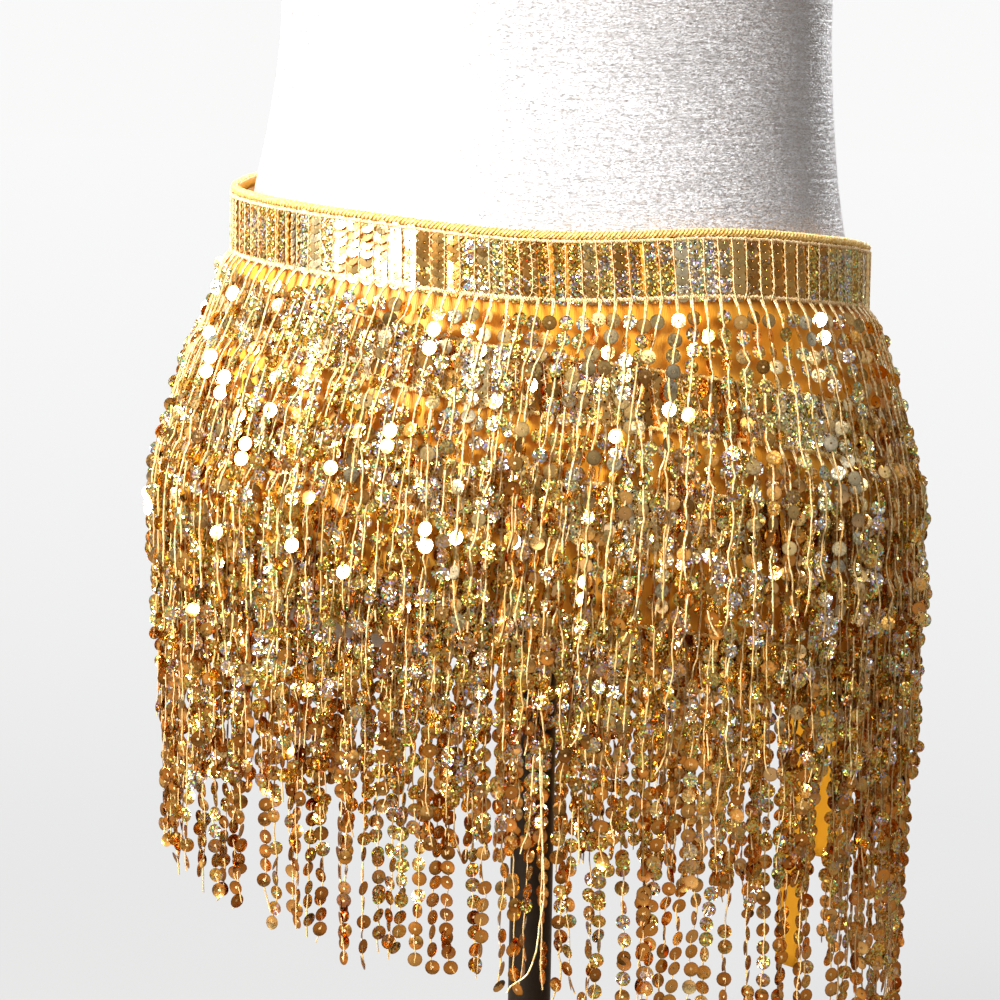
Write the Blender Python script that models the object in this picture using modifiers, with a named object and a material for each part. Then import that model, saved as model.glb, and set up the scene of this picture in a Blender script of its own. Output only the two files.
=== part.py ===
"""Belly dance hip scarf on a limbless dress form stand.

The scarf is a satin wrap with four tiers of sequin fringe. It stands open at the back right,
where its two ties are knotted. Sizes are in millimetres and the meshes are in metres. The front
faces -Y and the origin is the centre of the foot's underside.

Angles are in degrees round the figure: 0 is the front, 90 is the +X side, 180 is the back.
"""

import math
from collections import namedtuple

import bmesh
import bpy
from mathutils import Vector

MM = 0.001
NAME = "belly_dance_hip_scarf"

# Foot, pole and socket
FOOT_RADIUS = 150.0
FOOT_HEIGHT = 8.0
FOOT_EDGE = 2.5
POLE_RADIUS = 10.5
SOCKET_RADIUS = 23.0
SOCKET_HEIGHT = 18.0
SOCKET_RIM = 5.0
SOCKET_STEP = 5.0
COLLAR_WALL = 4.0
TOUCH = 0.3

# Cloth
SQUARENESS = 2.25
BAND_EDGE = 475.0
HIP_LINE = 372.0
CLOTH_CLEARANCE = 1.2
CLOTH_WALL = 1.2
HEADER_HEIGHT = 27.0
HEADER_WALL = 1.2
BINDING_RADIUS = 2.0
BINDING_SIDES = 6

# Fringe
FRINGE_LENGTH = 150.0
FRINGE_WALL = 2.0
LAYER_STEP = 2.4
LAYER_RAMP = 6.0

# Where the wrap opens, and the tie that closes it
OPENING_ANGLE = 132.0
OPENING_HALF = 8.5
TIE_WIDTH = 17.0
TIE_WALL = 1.5
TIE_SEWN = 6.0
TIE_OUT = 11.5
KNOT_SIZE = (24.0, 12.0, 22.0)
KNOT_EDGE = 4.5
TIE_LONG = 357.0
TIE_SHORT = 296.0
TIE_STRAP_STEPS = 8
# Where a hanging tie bends over the hip and then hangs, as shares of the band's height above the
# hip line and of what is left below its last bend
TIE_BENDS = (0.25, 0.4, 0.65, 0.85, 1.05)
TIE_HANGS = (0.25, 0.5, 0.75, 1.0)

CLOTH_STATIONS = 40
FORM_STATIONS = 44

FormRow = namedtuple("FormRow", "height half_width half_depth side back")
FORM = (
    FormRow(310, 122, 80, 0, 4),
    FormRow(314, 136, 91, 0, 4),
    FormRow(324, 153, 103, 0, 4),
    FormRow(344, 169, 114, 0, 4),
    FormRow(372, 175.5, 119, 0, 4),
    FormRow(400, 172, 117.5, 0, 4),
    FormRow(437, 162.5, 112.5, 0, 3),
    FormRow(475, 149.5, 105, 0, 2),
    FormRow(520, 139.5, 97, 1, 0),
    FormRow(562, 133, 91, 3, -2),
    FormRow(600, 130, 88.5, 4, -3),
    FormRow(650, 131.5, 91, 4, -3),
    FormRow(715, 140, 100, 3, -4),
    FormRow(790, 150, 108, 1, -6),
    FormRow(860, 154, 103, 0, -4),
    FormRow(920, 158, 90, 0, 0),
    FormRow(950, 152, 76, 0, 3),
    FormRow(972, 125, 66, 0, 4),
    FormRow(990, 90, 59, 0, 3),
    FormRow(1005, 63, 54, 0, 1),
    FormRow(1024, 54, 51, 0, 0),
    FormRow(1046, 52, 50, 0, -1),
    FormRow(1052, 49, 47, 0, -1),
    FormRow(1054, 44, 42, 0, -1),
)
FORM_ROW_STEP = {"hip": 15.0, "torso": 42.0}

# How the scarf hangs round the figure: the rise of the band, and how far the lower edge of each
# tier's header is below the band's lower edge
HangRow = namedtuple("HangRow", "angle rise tier_2 tier_3 tier_4")
HANG = (
    HangRow(-180, 12, 50, 100, 160),
    HangRow(-150, 22, 42, 88, 142),
    HangRow(-120, 24, 38, 82, 132),
    HangRow(-90, 18, 35, 80, 134),
    HangRow(-60, 13, 36, 86, 142),
    HangRow(-30, 7, 41, 93, 151),
    HangRow(0, 0, 50, 104, 164),
    HangRow(30, 2, 64, 116, 180),
    HangRow(60, -2, 73, 123, 189),
    HangRow(90, -7, 75, 124, 188),
    HangRow(130, -8, 70, 120, 181),
    HangRow(180, 12, 50, 100, 160),
)

COLOURS = {
    "mustard_satin": ((0.62, 0.27, 0.035, 1.0), 0.45, 0.0),
    "pale_gold_yarn": ((0.80, 0.60, 0.22, 1.0), 0.60, 0.0),
    "gold_sequin": ((0.60, 0.42, 0.14, 1.0), 0.25, 0.9),
    "silver_lame": ((0.75, 0.75, 0.78, 1.0), 0.35, 0.3),
    "dark_bronze": ((0.045, 0.035, 0.028, 1.0), 0.35, 0.9),
}


def smooth_read(rows, key, at, column):
    """Reads one column of a table at a place between its rows, on a curve through them."""
    places = [getattr(row, key) for row in rows]
    last = len(rows) - 2
    index = max(0, min(last, sum(1 for place in places[1:] if place <= at)))
    low, high = rows[index], rows[index + 1]
    before, after = rows[max(0, index - 1)], rows[min(last + 1, index + 2)]
    width = getattr(high, key) - getattr(low, key)
    share = (at - getattr(low, key)) / width

    def slope(first, second):
        span = getattr(second, key) - getattr(first, key)
        return (getattr(second, column) - getattr(first, column)) / span * width

    start, end = getattr(low, column), getattr(high, column)
    start_slope, end_slope = slope(before, high), slope(low, after)
    square, cube = share * share, share * share * share
    return (
        start * (2 * cube - 3 * square + 1)
        + start_slope * (cube - 2 * square + share)
        + end * (3 * square - 2 * cube)
        + end_slope * (cube - square)
    )


def hang(angle, column):
    """Reads the table of how the scarf hangs, at any angle."""
    turned = (angle + 180.0) % 360.0 - 180.0
    return smooth_read(HANG, "angle", turned, column)


def section_point(height, angle, out=0.0, size_height=None):
    """A point on the figure's section at a height, moved out, in metres.

    The section's size may be read at another height, which is how cloth hangs straight down.
    """
    read_at = height if size_height is None else size_height
    half_width = smooth_read(FORM, "height", read_at, "half_width") + out
    half_depth = smooth_read(FORM, "height", read_at, "half_depth") + out
    sine, cosine = math.sin(math.radians(angle)), math.cos(math.radians(angle))
    power = 2.0 / SQUARENESS
    across = half_width * math.copysign(abs(sine) ** power, sine)
    along = -half_depth * math.copysign(abs(cosine) ** power, cosine)
    across += smooth_read(FORM, "height", read_at, "side")
    along += smooth_read(FORM, "height", read_at, "back")
    return Vector((across, along, height)) * MM


def cloth_point(angle, drop, out):
    """A point of the scarf, a drop below the band's lower edge and moved out from its inner face.

    The band stands straight up from its lower edge, and the scarf hangs straight down from the
    fullest line of the hip.
    """
    band = BAND_EDGE + hang(angle, "rise")
    height = band - drop
    size_height = min(max(height, HIP_LINE), band)
    return section_point(height, angle, CLOTH_CLEARANCE + out, size_height)


def tier_drop(tier, angle):
    """How far the lower edge of a tier's header is below the band's lower edge."""
    return 0.0 if tier == 1 else hang(angle, f"tier_{tier}")


def layer_out(tier, angle, drop):
    """How far out a tier's fringe lies, having passed over the tiers below it."""
    out = CLOTH_WALL + TOUCH
    for passed in range(tier, 4):
        share = (drop - tier_drop(passed, angle)) / LAYER_RAMP
        out += LAYER_STEP * max(0.0, min(1.0, share))
    return out


def make_material(slot):
    """A plain material with the slot's colour, roughness and metal."""
    if slot in bpy.data.materials:
        return bpy.data.materials[slot]
    colour, roughness, metallic = COLOURS[slot]
    material = bpy.data.materials.new(slot)
    material.use_nodes = True
    shader = material.node_tree.nodes["Principled BSDF"]
    shader.inputs["Base Color"].default_value = colour
    shader.inputs["Roughness"].default_value = roughness
    shader.inputs["Metallic"].default_value = metallic
    return material


def dress(piece, name, slot, collection):
    """Names a piece, gives it its material and puts it in the scarf's collection."""
    piece.name = name
    piece.data.name = name
    piece.data.materials.clear()
    piece.data.materials.append(make_material(slot))
    for other in list(piece.users_collection):
        other.objects.unlink(piece)
    collection.objects.link(piece)
    return piece


def loft(name, slot, collection, sections):
    """A closed body lofted through loops of equal length, with both end loops filled across.

    A loop runs along one face and back along the other, so point i faces point -1 - i.
    """
    work = bmesh.new()
    loops = [[work.verts.new(point) for point in section] for section in sections]
    count = len(loops[0])
    for first, second in zip(loops, loops[1:]):
        for index in range(count):
            after = (index + 1) % count
            work.faces.new((first[index], first[after], second[after], second[index]))
    for loop in (loops[0], loops[-1]):
        for index in range(count // 2 - 1):
            facing = count - 1 - index
            work.faces.new((loop[index], loop[index + 1], loop[facing - 1], loop[facing]))
    bmesh.ops.recalc_face_normals(work, faces=work.faces)
    mesh = bpy.data.meshes.new(name)
    work.to_mesh(mesh)
    work.free()
    piece = bpy.data.objects.new(name, mesh)
    collection.objects.link(piece)
    dress(piece, name, slot, collection)
    mesh.shade_smooth()
    return piece


def cloth_angles():
    """The angles of the wrap's sections, from one side of the opening round to the other."""
    start = OPENING_ANGLE + OPENING_HALF
    sweep = 360.0 - 2.0 * OPENING_HALF
    return [start + sweep * index / CLOTH_STATIONS for index in range(CLOTH_STATIONS + 1)]


def cloth_wall(name, slot, collection, drops_at, out_at, wall):
    """A wall of the wrap: its rows at each angle, how far out each row lies, and its thickness."""
    sections = []
    for angle in cloth_angles():
        rows = [(drop, out_at(angle, drop)) for drop in drops_at(angle)]
        inner = [cloth_point(angle, drop, out) for drop, out in rows]
        outer = [cloth_point(angle, drop, out + wall) for drop, out in reversed(rows)]
        sections.append(inner + outer)
    return loft(name, slot, collection, sections)


def ground_rows(angle):
    """Rows of the ground cloth: at the head and foot of each header, and below each ramp."""
    rows = [-HEADER_HEIGHT, 0.0, LAYER_RAMP]
    for tier in (2, 3, 4):
        edge = tier_drop(tier, angle)
        rows += [edge - HEADER_HEIGHT, edge, edge + LAYER_RAMP]
    return rows[:-1]


def fringe_rows(tier, angle):
    """Rows of a tier's fringe: those of the ground cloth that it passes, then down to its hem."""
    edge = tier_drop(tier, angle)
    hem = edge + FRINGE_LENGTH
    third = tier_drop(3, angle) + LAYER_RAMP
    fullest = BAND_EDGE + hang(angle, "rise") - HIP_LINE
    rows = [edge + TOUCH]
    rows += [row for row in ground_rows(angle) if edge + TOUCH < row <= third]
    rows.append(max(fullest, rows[-1] + LAYER_RAMP))
    return rows + [(rows[-1] + hem) / 2, hem]


def make_ground_cloth(collection):
    """The satin wrap that the tiers are sewn to."""

    def out(angle, drop):
        return 0.0

    return cloth_wall("ground_cloth", "mustard_satin", collection, ground_rows, out, CLOTH_WALL)


def make_header(tier, collection):
    """The sequinned strip at the head of a tier, on the ground cloth."""

    def rows(angle):
        edge = tier_drop(tier, angle)
        return [edge - HEADER_HEIGHT, edge]

    def out(angle, drop):
        return CLOTH_WALL + TOUCH

    return cloth_wall(f"header_{tier}", "gold_sequin", collection, rows, out, HEADER_WALL)


def make_fringe(tier, collection):
    """The reach of a tier's strands, from under its header down to its hem."""

    def rows(angle):
        return fringe_rows(tier, angle)

    def out(angle, drop):
        return layer_out(tier, angle, drop)

    return cloth_wall(f"fringe_{tier}", "gold_sequin", collection, rows, out, FRINGE_WALL)


def make_binding(collection):
    """The rolled binding, standing on the top edges of the ground cloth and the first header."""
    middle = (CLOTH_WALL + TOUCH + HEADER_WALL) / 2
    lift = BINDING_RADIUS * math.cos(math.pi / BINDING_SIDES) + TOUCH
    sections = []
    for angle in cloth_angles():
        loop = []
        for side in range(BINDING_SIDES):
            turn = 2 * math.pi * (side + 0.5) / BINDING_SIDES + math.pi / 2
            out = middle + BINDING_RADIUS * math.cos(turn)
            drop = -HEADER_HEIGHT - lift - BINDING_RADIUS * math.sin(turn)
            loop.append(cloth_point(angle, drop, out))
        sections.append(loop)
    return loft("waist_binding", "pale_gold_yarn", collection, sections)


def tie_axes():
    """The directions across and out of the scarf, level, at its opening."""
    before = cloth_point(OPENING_ANGLE - OPENING_HALF, 0.0, 0.0)
    after = cloth_point(OPENING_ANGLE + OPENING_HALF, 0.0, 0.0)
    across = (after - before).normalized()
    across.z = 0.0
    across.normalize()
    return across, across.cross(Vector((0, 0, 1)))


def make_tie_strap(name, side, collection):
    """A tie from where it is sewn on the end of the band to the knot in the opening."""
    middle = -HEADER_HEIGHT / 2
    out = CLOTH_WALL + TOUCH + HEADER_WALL + TOUCH
    across, _ = tie_axes()
    knot_centre = cloth_point(OPENING_ANGLE, middle, out + KNOT_SIZE[1] / 2)
    start = OPENING_HALF + TIE_SEWN
    sections = []
    for index in range(TIE_STRAP_STEPS + 1):
        turn = start * (1.0 - index / TIE_STRAP_STEPS)
        angle = OPENING_ANGLE + side * turn
        point = cloth_point(angle, middle, out)
        if abs((point - knot_centre).dot(across)) < (KNOT_SIZE[0] / 2 + TOUCH) * MM:
            break
        top = middle - TIE_WIDTH / 2
        foot = middle + TIE_WIDTH / 2
        sections.append(
            [
                cloth_point(angle, top, out),
                cloth_point(angle, foot, out),
                cloth_point(angle, foot, out + TIE_WALL),
                cloth_point(angle, top, out + TIE_WALL),
            ]
        )
    return loft(name, "mustard_satin", collection, sections)


def make_knot(collection):
    """The knot: a small rounded block, just clear of the band."""
    across, _ = tie_axes()
    out = CLOTH_WALL + TOUCH + HEADER_WALL + TOUCH
    centre = cloth_point(OPENING_ANGLE, -HEADER_HEIGHT / 2, out + KNOT_SIZE[1] / 2)
    bpy.ops.mesh.primitive_cube_add(size=1.0, location=centre)
    knot = bpy.context.object
    for corner in knot.data.vertices:
        corner.co = Vector([part * size * MM for part, size in zip(corner.co, KNOT_SIZE)])
    knot.rotation_euler = (0.0, 0.0, math.atan2(across.y, across.x))
    edge = knot.modifiers.new("rounding", "BEVEL")
    edge.width = KNOT_EDGE * MM
    edge.segments = 3
    dress(knot, "tie_knot", "mustard_satin", collection)
    knot.data.shade_smooth()
    return knot


def make_tie_end(name, length, sideways, swing, out, collection):
    """A free end of the tie, hanging over the hip from under the knot.

    Args:
        length: how far it hangs down.
        sideways: how far its middle is to one side of the knot's middle, at the top.
        swing: how far its foot has swung further to that side.
        out: how far out of the scarf's inner face it hangs.
    """
    across, outward = tie_axes()
    head = -HEADER_HEIGHT / 2 + KNOT_SIZE[2] / 2 + TOUCH
    hip = BAND_EDGE - HIP_LINE
    drops = [head] + [hip * share for share in TIE_BENDS]
    last = drops[-1]
    drops += [last + (head + length - last) * share for share in TIE_HANGS]
    sections = []
    for drop in drops:
        share = (drop - head) / length
        middle = cloth_point(OPENING_ANGLE, drop, out)
        middle += across * (sideways + swing * share * share) * MM
        half = across * TIE_WIDTH / 2 * MM
        thick = outward * TIE_WALL * MM
        sections.append([middle - half, middle + half, middle + half + thick, middle - half + thick])
    return loft(name, "mustard_satin", collection, sections)


def form_heights():
    """The heights of the dress form's sections: the table's rows, and more between them."""
    heights = [float(FORM[0].height)]
    for low, high in zip(FORM, FORM[1:]):
        step = FORM_ROW_STEP["hip" if high.height <= BAND_EDGE + HEADER_HEIGHT else "torso"]
        parts = max(1, math.ceil((high.height - low.height) / step))
        span = high.height - low.height
        heights += [low.height + span * index / parts for index in range(1, parts + 1)]
    return heights


def make_form(collection):
    """The dress form, from its underside to the closed end of its neck."""
    sections = []
    for height in form_heights():
        angles = [360.0 * index / FORM_STATIONS for index in range(FORM_STATIONS)]
        sections.append([section_point(height, angle) for angle in angles])
    return loft("form_body", "silver_lame", collection, sections)


def turned(name, slot, collection, profile, steps):
    """A turned solid from a profile of radius and height that starts and ends on the axis."""
    mesh = bpy.data.meshes.new(name)
    points = [(radius * MM, 0.0, height * MM) for radius, height in profile]
    edges = [(index, index + 1) for index in range(len(points) - 1)]
    mesh.from_pydata(points, edges, [])
    piece = bpy.data.objects.new(name, mesh)
    collection.objects.link(piece)
    screw = piece.modifiers.new("turn", "SCREW")
    screw.steps = steps
    screw.render_steps = steps
    screw.use_merge_vertices = True
    screw.merge_threshold = 0.00005
    return dress(piece, name, slot, collection)


def make_stand(collection):
    """The foot, the pole on it and the socket between the pole and the form."""
    rim = FOOT_RADIUS - FOOT_EDGE
    foot = [(0, FOOT_HEIGHT), (rim, FOOT_HEIGHT), (FOOT_RADIUS, FOOT_HEIGHT - FOOT_EDGE)]
    foot += [(FOOT_RADIUS, FOOT_EDGE / 2), (FOOT_RADIUS - FOOT_EDGE / 2, 0), (0, 0)]
    turned("stand_base", "dark_bronze", collection, foot, 48)

    socket_top = FORM[0].height - TOUCH
    socket_foot = socket_top - SOCKET_HEIGHT
    rim, collar = socket_top - SOCKET_RIM, POLE_RADIUS + COLLAR_WALL
    socket = [(0, socket_top), (SOCKET_RADIUS, socket_top), (SOCKET_RADIUS, rim)]
    socket += [(collar, rim - SOCKET_STEP), (collar, socket_foot), (0, socket_foot)]
    turned("form_socket", "dark_bronze", collection, socket, 32)

    pole_top, pole_foot = socket_foot - TOUCH, FOOT_HEIGHT + TOUCH
    pole = [(0, pole_top), (POLE_RADIUS, pole_top), (POLE_RADIUS, pole_foot), (0, pole_foot)]
    turned("stand_pole", "dark_bronze", collection, pole, 24)


def main():
    """Clears the scene and builds every piece."""
    for old in list(bpy.data.objects):
        bpy.data.objects.remove(old)
    collection = bpy.data.collections.new(NAME)
    bpy.context.scene.collection.children.link(collection)

    make_stand(collection)
    make_form(collection)
    make_ground_cloth(collection)
    make_binding(collection)
    for tier in (1, 2, 3, 4):
        make_header(tier, collection)
        make_fringe(tier, collection)
    make_tie_strap("tie_strap_a", -1, collection)
    make_tie_strap("tie_strap_b", 1, collection)
    make_knot(collection)
    make_tie_end("tie_end_long", TIE_LONG, 2.0, 9.0, TIE_OUT, collection)
    make_tie_end("tie_end_short", TIE_SHORT, -3.0, -8.0, TIE_OUT + TIE_WALL + 1.0, collection)


main()
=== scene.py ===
"""The finished look of a belly dance hip scarf on a limbless dress form stand.

A satin wrap carries four tiers. Each tier has a header, solid with overlapping sequins, and a
fringe of sequin strands. Sizes are in metres and angles are in degrees round the figure: 0 is the
front, 90 the +X side and 180 the back.
"""

import logging
import math
from collections.abc import Callable, Sequence
from dataclasses import dataclass, field
from enum import Enum

import bmesh
import bpy
import numpy as np
from mathutils import Matrix, Vector


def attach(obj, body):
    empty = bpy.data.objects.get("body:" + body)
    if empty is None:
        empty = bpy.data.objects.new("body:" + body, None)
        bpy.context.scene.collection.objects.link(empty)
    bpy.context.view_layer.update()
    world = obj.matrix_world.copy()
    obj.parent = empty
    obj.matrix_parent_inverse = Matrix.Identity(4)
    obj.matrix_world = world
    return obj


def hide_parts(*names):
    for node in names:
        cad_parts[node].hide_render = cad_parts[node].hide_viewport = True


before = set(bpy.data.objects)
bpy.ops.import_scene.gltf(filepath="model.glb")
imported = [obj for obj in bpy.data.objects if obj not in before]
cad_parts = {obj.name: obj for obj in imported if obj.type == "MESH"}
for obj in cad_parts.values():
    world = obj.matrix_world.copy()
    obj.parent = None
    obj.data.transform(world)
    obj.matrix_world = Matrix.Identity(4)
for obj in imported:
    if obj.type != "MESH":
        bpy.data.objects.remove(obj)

LOG = logging.getLogger("hip_scarf")
MM = 0.001
MM_PER_DEGREE = 2.4
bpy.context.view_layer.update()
Array = np.ndarray


class Slot(Enum):
    """The finishes that the record names."""

    BRONZE = "dark_bronze"
    LAME = "silver_lame"
    SATIN = "mustard_satin"
    YARN = "pale_gold_yarn"
    SEQUIN = "gold_sequin"


class Hold(Enum):
    """How a sheet of cloth is held."""

    DRAPED = "draped"
    HUNG = "hung"
    STRETCHED = "stretched"


# ---- The figure and how the scarf hangs on it ----


class SmoothTable:
    """A short table that is read between its rows on a smooth curve through them."""

    def __init__(self, columns: str, rows: Sequence[Sequence[float]]) -> None:
        """Keeps the rows.

        Args:
            columns: the columns' names, parted by spaces; the first is what the rows are read by.
            rows: the rows, in rising order of the first column.
        """
        self.columns = columns.split()
        self.rows = np.array(rows, float)

    def read(self, at: Array, column: str) -> Array:
        """Reads a column.

        Args:
            at: the places to read at, in the first column's own terms.
            column: the name of the column to read.

        Returns:
            The column's value at each place.
        """
        places = self.rows[:, 0]
        values = self.rows[:, self.columns.index(column)]
        at = np.asarray(at, float)
        low = np.clip(np.searchsorted(places, at, side="right") - 1, 0, len(places) - 2)
        before, after = np.maximum(low - 1, 0), np.minimum(low + 2, len(places) - 1)
        width = places[low + 1] - places[low]
        share = (at - places[low]) / width
        start_slope = (values[low + 1] - values[before]) / (places[low + 1] - places[before]) * width
        end_slope = (values[after] - values[low]) / (places[after] - places[low]) * width
        square, cube = share**2, share**3
        return (
            values[low] * (2 * cube - 3 * square + 1)
            + start_slope * (cube - 2 * square + share)
            + values[low + 1] * (3 * square - 2 * cube)
            + end_slope * (cube - square)
        )


@dataclass
class Figure:
    """The dress form's sections, and the scarf's hang on it, as the part is built.

    The tables are in millimetres and degrees. A lean is how far the strands drift sideways as they
    fall.
    """

    squareness: float = 2.25
    band_edge: float = 475.0
    hip_line: float = 372.0
    cloth_clearance: float = 1.2
    cloth_wall: float = 1.2
    header_height: float = 27.0
    touch: float = 0.3
    layer_step: float = 2.4
    layer_ramp: float = 6.0
    opening_angle: float = 132.0
    opening_half: float = 8.5
    form: SmoothTable = SmoothTable(
        "height half_width half_depth side back",
        [
            (310, 122, 80, 0, 4), (314, 136, 91, 0, 4), (324, 153, 103, 0, 4),
            (344, 169, 114, 0, 4), (372, 175.5, 119, 0, 4), (400, 172, 117.5, 0, 4),
            (437, 162.5, 112.5, 0, 3), (475, 149.5, 105, 0, 2), (520, 139.5, 97, 1, 0),
            (562, 133, 91, 3, -2), (600, 130, 88.5, 4, -3), (650, 131.5, 91, 4, -3),
            (715, 140, 100, 3, -4), (790, 150, 108, 1, -6), (860, 154, 103, 0, -4),
            (920, 158, 90, 0, 0), (950, 152, 76, 0, 3), (972, 125, 66, 0, 4), (990, 90, 59, 0, 3),
            (1005, 63, 54, 0, 1), (1024, 54, 51, 0, 0), (1046, 52, 50, 0, -1),
            (1052, 49, 47, 0, -1), (1054, 44, 42, 0, -1),
        ],
    )
    hang: SmoothTable = SmoothTable(
        "angle rise tier_2 tier_3 tier_4",
        [
            (-180, 12, 50, 100, 160), (-150, 22, 42, 88, 142), (-120, 24, 38, 82, 132),
            (-90, 18, 35, 80, 134), (-60, 13, 36, 86, 142), (-30, 7, 41, 93, 151),
            (0, 0, 50, 104, 164), (30, 2, 64, 116, 180), (60, -2, 73, 123, 189),
            (90, -7, 75, 124, 188), (130, -8, 70, 120, 181), (180, 12, 50, 100, 160),
        ],
    )
    drift: SmoothTable = SmoothTable(
        "angle lean",
        [
            (-180, 0), (-120, -2), (-90, -5), (-60, -9), (-30, -11), (-10, -11), (8, -15),
            (19, -16), (28, -9), (36, -4), (60, 0), (90, 2), (130, 0), (180, 0),
        ],
    )

    def section(self, height: Array, angle: Array, out: Array, size_height: Array) -> Array:
        """Points on the figure's sections.

        Args:
            height: the height of each point, in millimetres.
            angle: its angle round the figure.
            out: how far outside the form it is, in millimetres.
            size_height: the height at which the section's size is read.

        Returns:
            The points in metres, a row each.
        """
        angle = np.radians(np.asarray(angle, float))
        power = 2.0 / self.squareness
        wide = self.form.read(size_height, "half_width") + out
        deep = self.form.read(size_height, "half_depth") + out
        across = wide * np.copysign(np.abs(np.sin(angle)) ** power, np.sin(angle))
        along = -deep * np.copysign(np.abs(np.cos(angle)) ** power, np.cos(angle))
        across = across + self.form.read(size_height, "side")
        along = along + self.form.read(size_height, "back")
        return np.stack(np.broadcast_arrays(across, along, height), axis=-1) * MM

    def hang_at(self, angle: Array, column: str) -> Array:
        """Reads how the scarf hangs at any angle, in millimetres."""
        return self.hang.read((np.asarray(angle, float) + 180.0) % 360.0 - 180.0, column)

    def cloth(self, angle: Array, drop: Array, out: Array) -> Array:
        """Points of the scarf.

        Args:
            angle: the angle of each point round the figure.
            drop: how far it is below the band's lower edge, in millimetres.
            out: how far it is outside the ground cloth's inner face, in millimetres.

        Returns:
            The points in metres, a row each.
        """
        band = self.band_edge + self.hang_at(angle, "rise")
        height = band - drop
        size_height = np.minimum(np.maximum(height, self.hip_line), band)
        return self.section(height, angle, self.cloth_clearance + out, size_height)

    def tier_drop(self, tier: int, angle: Array) -> Array:
        """How far the lower edge of a tier's header is below the band's.

        Args:
            tier: the tier, from 1 at the top to 4.
            angle: the angles to read it at.

        Returns:
            The drop at each angle, in millimetres.
        """
        if tier == 1:
            return np.zeros_like(np.asarray(angle, float))
        return self.hang_at(angle, f"tier_{tier}")

    def layer_out(self, tier: int, angle: Array, drop: Array) -> Array:
        """How far out a tier's fringe lies over the tiers that it has passed.

        Args:
            tier: the tier, from 1 at the top to 4.
            angle: the angles of the places to read it at.
            drop: their drops.

        Returns:
            The distance from the ground cloth's inner face, in millimetres.
        """
        out = np.full(np.broadcast(angle, drop).shape, self.cloth_wall + self.touch)
        for passed in range(tier, 4):
            share = (drop - self.tier_drop(passed, angle)) / self.layer_ramp
            out = out + self.layer_step * np.clip(share, 0.0, 1.0)
        return out

    def outward(self, angle: Array, drop: Array) -> Array:
        """Level unit vectors pointing out of the scarf.

        Args:
            angle: the angles of the places to find them at.
            drop: their drops.

        Returns:
            The vectors, a row each.
        """
        step = 0.5
        ahead = self.cloth(np.asarray(angle) + step, drop, 0.0)
        behind = self.cloth(np.asarray(angle) - step, drop, 0.0)
        run = (ahead - behind)[..., :2]
        found = np.stack([run[..., 1], -run[..., 0], np.zeros(run.shape[:-1])], axis=-1)
        return found / np.linalg.norm(found, axis=-1, keepdims=True)

    def wrap_angles(self, count: int) -> Array:
        """Angles from one side of the opening round to the other."""
        start = self.opening_angle + self.opening_half
        return np.linspace(start, start + 360.0 - 2 * self.opening_half, count)

    def even_angles(self, pitch: float, drop: Callable[[Array], Array], margin: float) -> Array:
        """Angles of marks at an even pitch round the scarf.

        Args:
            pitch: the distance between marks, in millimetres.
            drop: gives the drop of the line that the marks are on, from the angle.
            margin: how far the first and last mark are from the opening, in millimetres.

        Returns:
            The marks' angles.
        """
        fine = self.wrap_angles(1500)
        line = self.cloth(fine, drop(fine), self.cloth_wall)
        run = np.concatenate([[0.0], np.cumsum(np.linalg.norm(np.diff(line, axis=0), axis=1))]) / MM
        count = int((run[-1] - 2 * margin) / pitch)
        return np.interp(np.linspace(margin, run[-1] - margin, count + 1), run, fine)


FIGURE = Figure()


def angle_from_front(angle: float) -> float:
    """An angle as one from -180 to 180 degrees."""
    return (angle + 180.0) % 360.0 - 180.0


# ---- Finishes ----

Colour = tuple[float, float, float]
Stops = Sequence[tuple[float, Colour]]


def add_node(
    tree: bpy.types.NodeTree, kind: str, inputs: dict | None = None, **settings: object
) -> bpy.types.Node:
    """Adds a node to a tree.

    Args:
        tree: the tree.
        kind: the node's type, in full.
        inputs: input names or numbers with a value, or a socket to join.
        settings: the node's own settings.

    Returns:
        The node.
    """
    node = tree.nodes.new(kind)
    for key, value in settings.items():
        setattr(node, key, value)
    for key, value in (inputs or {}).items():
        if isinstance(value, bpy.types.NodeSocket):
            tree.links.new(value, node.inputs[key])
        else:
            node.inputs[key].default_value = value
    return node


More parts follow.
